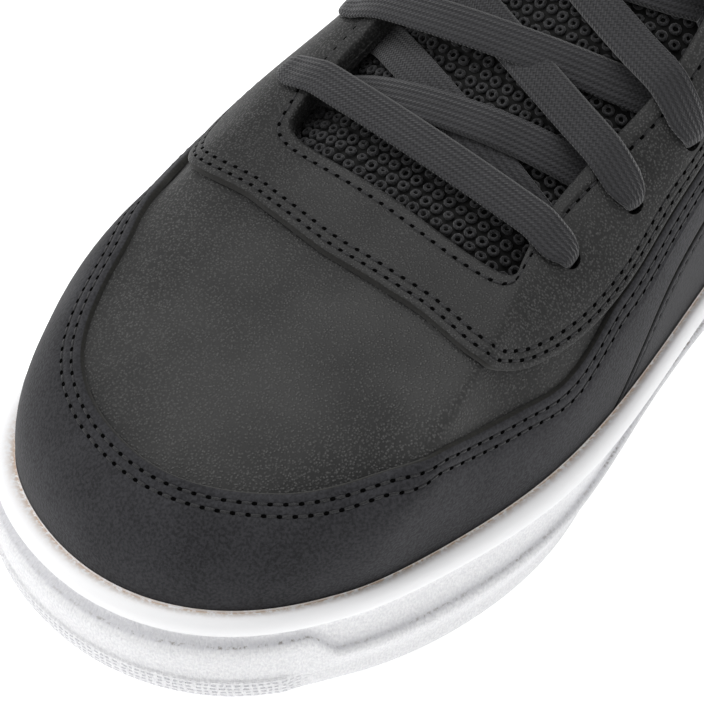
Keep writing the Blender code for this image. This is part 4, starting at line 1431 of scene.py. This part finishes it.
def bridge(loop, column, columns, start, across, upward):
    """Fill a loop with rows from side to side: the cup's floor, or the tread with its grooves."""
    count = len(loop)
    share = np.linspace(0, 1, across + 1)[1:-1]
    toe, heel = column, count // 2 * columns + column
    points, faces, previous = [], [], []
    for i in range(1, count // 2):
        medial, lateral = loop[i], loop[count - i]
        inner = medial + (lateral - medial) * share[:, None]
        if upward:
            inner[:, 2] = floor_z(inner[:, 0])
        else:
            rim = np.minimum(share, 1 - share) * np.linalg.norm(lateral - medial)
            inner[:, 2] = bottom_z(inner[:, 0]) + groove_rise(inner[:, 0], rim)
        first = start + len(points)
        points += list(inner)
        line = [i * columns + column, *range(first, first + len(inner)), (count - i) * columns + column]
        if i == 1:
            faces += [(toe, line[k + 1], line[k]) for k in range(across)]
        else:
            faces += [(previous[k], previous[k + 1], line[k + 1], line[k]) for k in range(across)]
        previous = line
    faces += [(previous[k], previous[k + 1], heel) for k in range(across)]
    return np.array(points), flipped(faces) if upward else faces


def make_sole():
    """Cup sole with its rounded lip, hollow band, stepped side, toe plate and grooved tread."""
    u = np.arange(0, ROWS, SOLE_STEP)
    rings, glue = (cut_corners(rows, 2) for rows in sole_rings(u))
    grid = rings.transpose(1, 0, 2)
    count, columns = grid.shape[:2]
    faces = flipped(grid_faces(count, columns, True))
    lip_foot, ridge = side_levels(u, grid[..., 0])
    level = grid[..., 2]
    height = level - bottom_z(grid[..., 0])
    toe = 1 - smooth((folded(u) - TOE_PLATE_ROW) / (2 * TOE_PLATE_ROWS))
    plate = toe[:, None] * smooth((PLATE_HEIGHT - height) / PLATE_FADE)
    marks = SoleMark(level - lip_foot, level - ridge, np.broadcast_to(glue, level.shape), plate)
    values = [np.stack(marks, axis=-1).reshape(-1, len(marks))]
    points = [grid.reshape(-1, 3)]
    for column, upward, across in ((0, True, FLOOR_COLUMNS), (columns - 1, False, TREAD_COLUMNS)):
        start = sum(len(p) for p in points)
        fill, fill_faces = bridge(grid[:, column], column, columns, start, across, upward)
        points.append(fill)
        values.append(np.full((len(fill), len(marks)), UNMARKED))
        faces += fill_faces
    points, values = np.vstack(points), np.vstack(values)
    sole = add_mesh("sole_shell", points, faces, [RUBBER], 50.0)
    for name, column in zip(SoleMark._fields, values.T):
        set_mask(sole, name, column)
    uv = np.zeros((len(points), 2))
    uv[:count * columns, 0] = np.repeat(run_from_toe(grid[:, -2]), columns)
    uv[:count * columns, 1] = height.ravel()
    set_uv(sole, uv)
    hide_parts("sole")


# Camera, light and floor


def make_camera():
    """Camera above the toe on the medial side, rolled a little, as in the photograph."""
    azimuth, elevation, roll = np.radians([CAMERA_AZIMUTH, CAMERA_ELEVATION, CAMERA_ROLL])
    level = np.array([np.sin(azimuth), -np.cos(azimuth), 0.0])
    back = np.cos(elevation) * level + np.array([0.0, 0.0, np.sin(elevation)])
    right = np.array([np.cos(azimuth), np.sin(azimuth), 0.0])
    up = np.cross(back, right)
    right, up = np.cos(roll) * right + np.sin(roll) * up, np.cos(roll) * up - np.sin(roll) * right
    place = CAMERA_AIM + CAMERA_DISTANCE * back
    aim = CAMERA_AIM + CAMERA_OFF_CENTRE[0] * right + CAMERA_OFF_CENTRE[1] * up
    back = unit(place - aim)
    right = unit(np.cross(up, back))
    data = bpy.data.cameras.new("camera")
    data.sensor_width = SENSOR
    data.lens = SENSOR * CAMERA_SCALE * CAMERA_DISTANCE / PHOTO_SIZE
    camera = bpy.data.objects.new("camera", data)
    turn = Matrix(np.column_stack([right, np.cross(back, right), back]).tolist()).to_4x4()
    camera.matrix_world = Matrix.Translation((place - LAST_ORIGIN) * MM) @ turn
    bpy.context.scene.collection.objects.link(camera)
    bpy.context.scene.camera = camera


def add_area(light):
    """Square soft light that faces the shoe."""
    data = bpy.data.lights.new(light.name, "AREA")
    data.shape = "SQUARE"
    data.size = light.size
    data.energy = light.power
    lamp = bpy.data.objects.new(light.name, data)
    turn = (Vector(light.place) - Vector(LIGHT_AIM)).to_track_quat("Z", "Y")
    lamp.matrix_world = Matrix.Translation(light.place) @ turn.to_matrix().to_4x4()
    bpy.context.scene.collection.objects.link(lamp)


def make_stage():
    """White floor, even white surround and three large soft lights."""
    scene = bpy.context.scene
    scene.view_settings.view_transform = "Standard"
    world = bpy.data.worlds.new("surround")
    world.use_nodes = True
    background = world.node_tree.nodes["Background"].inputs
    background["Color"].default_value = (1.0, 1.0, 1.0, 1.0)
    background["Strength"].default_value = SURROUND
    scene.world = world
    for light in LIGHTS:
        add_area(light)
    mesh = bpy.data.meshes.new("floor")
    corners = [(x * FLOOR_HALF, y * FLOOR_HALF, 0) for x, y in ((-1, -1), (1, -1), (1, 1), (-1, 1))]
    mesh.from_pydata(corners, [], [(0, 1, 2, 3)])
    mesh.materials.append(floor_white())
    floor = bpy.data.objects.new("floor", mesh)
    scene.collection.objects.link(floor)


make_camera()
make_stage()
make_sole()
make_insole()
make_upper()
make_guard()
make_foxing()
make_eyestay()
make_stitches()
make_tongue()
make_lace()
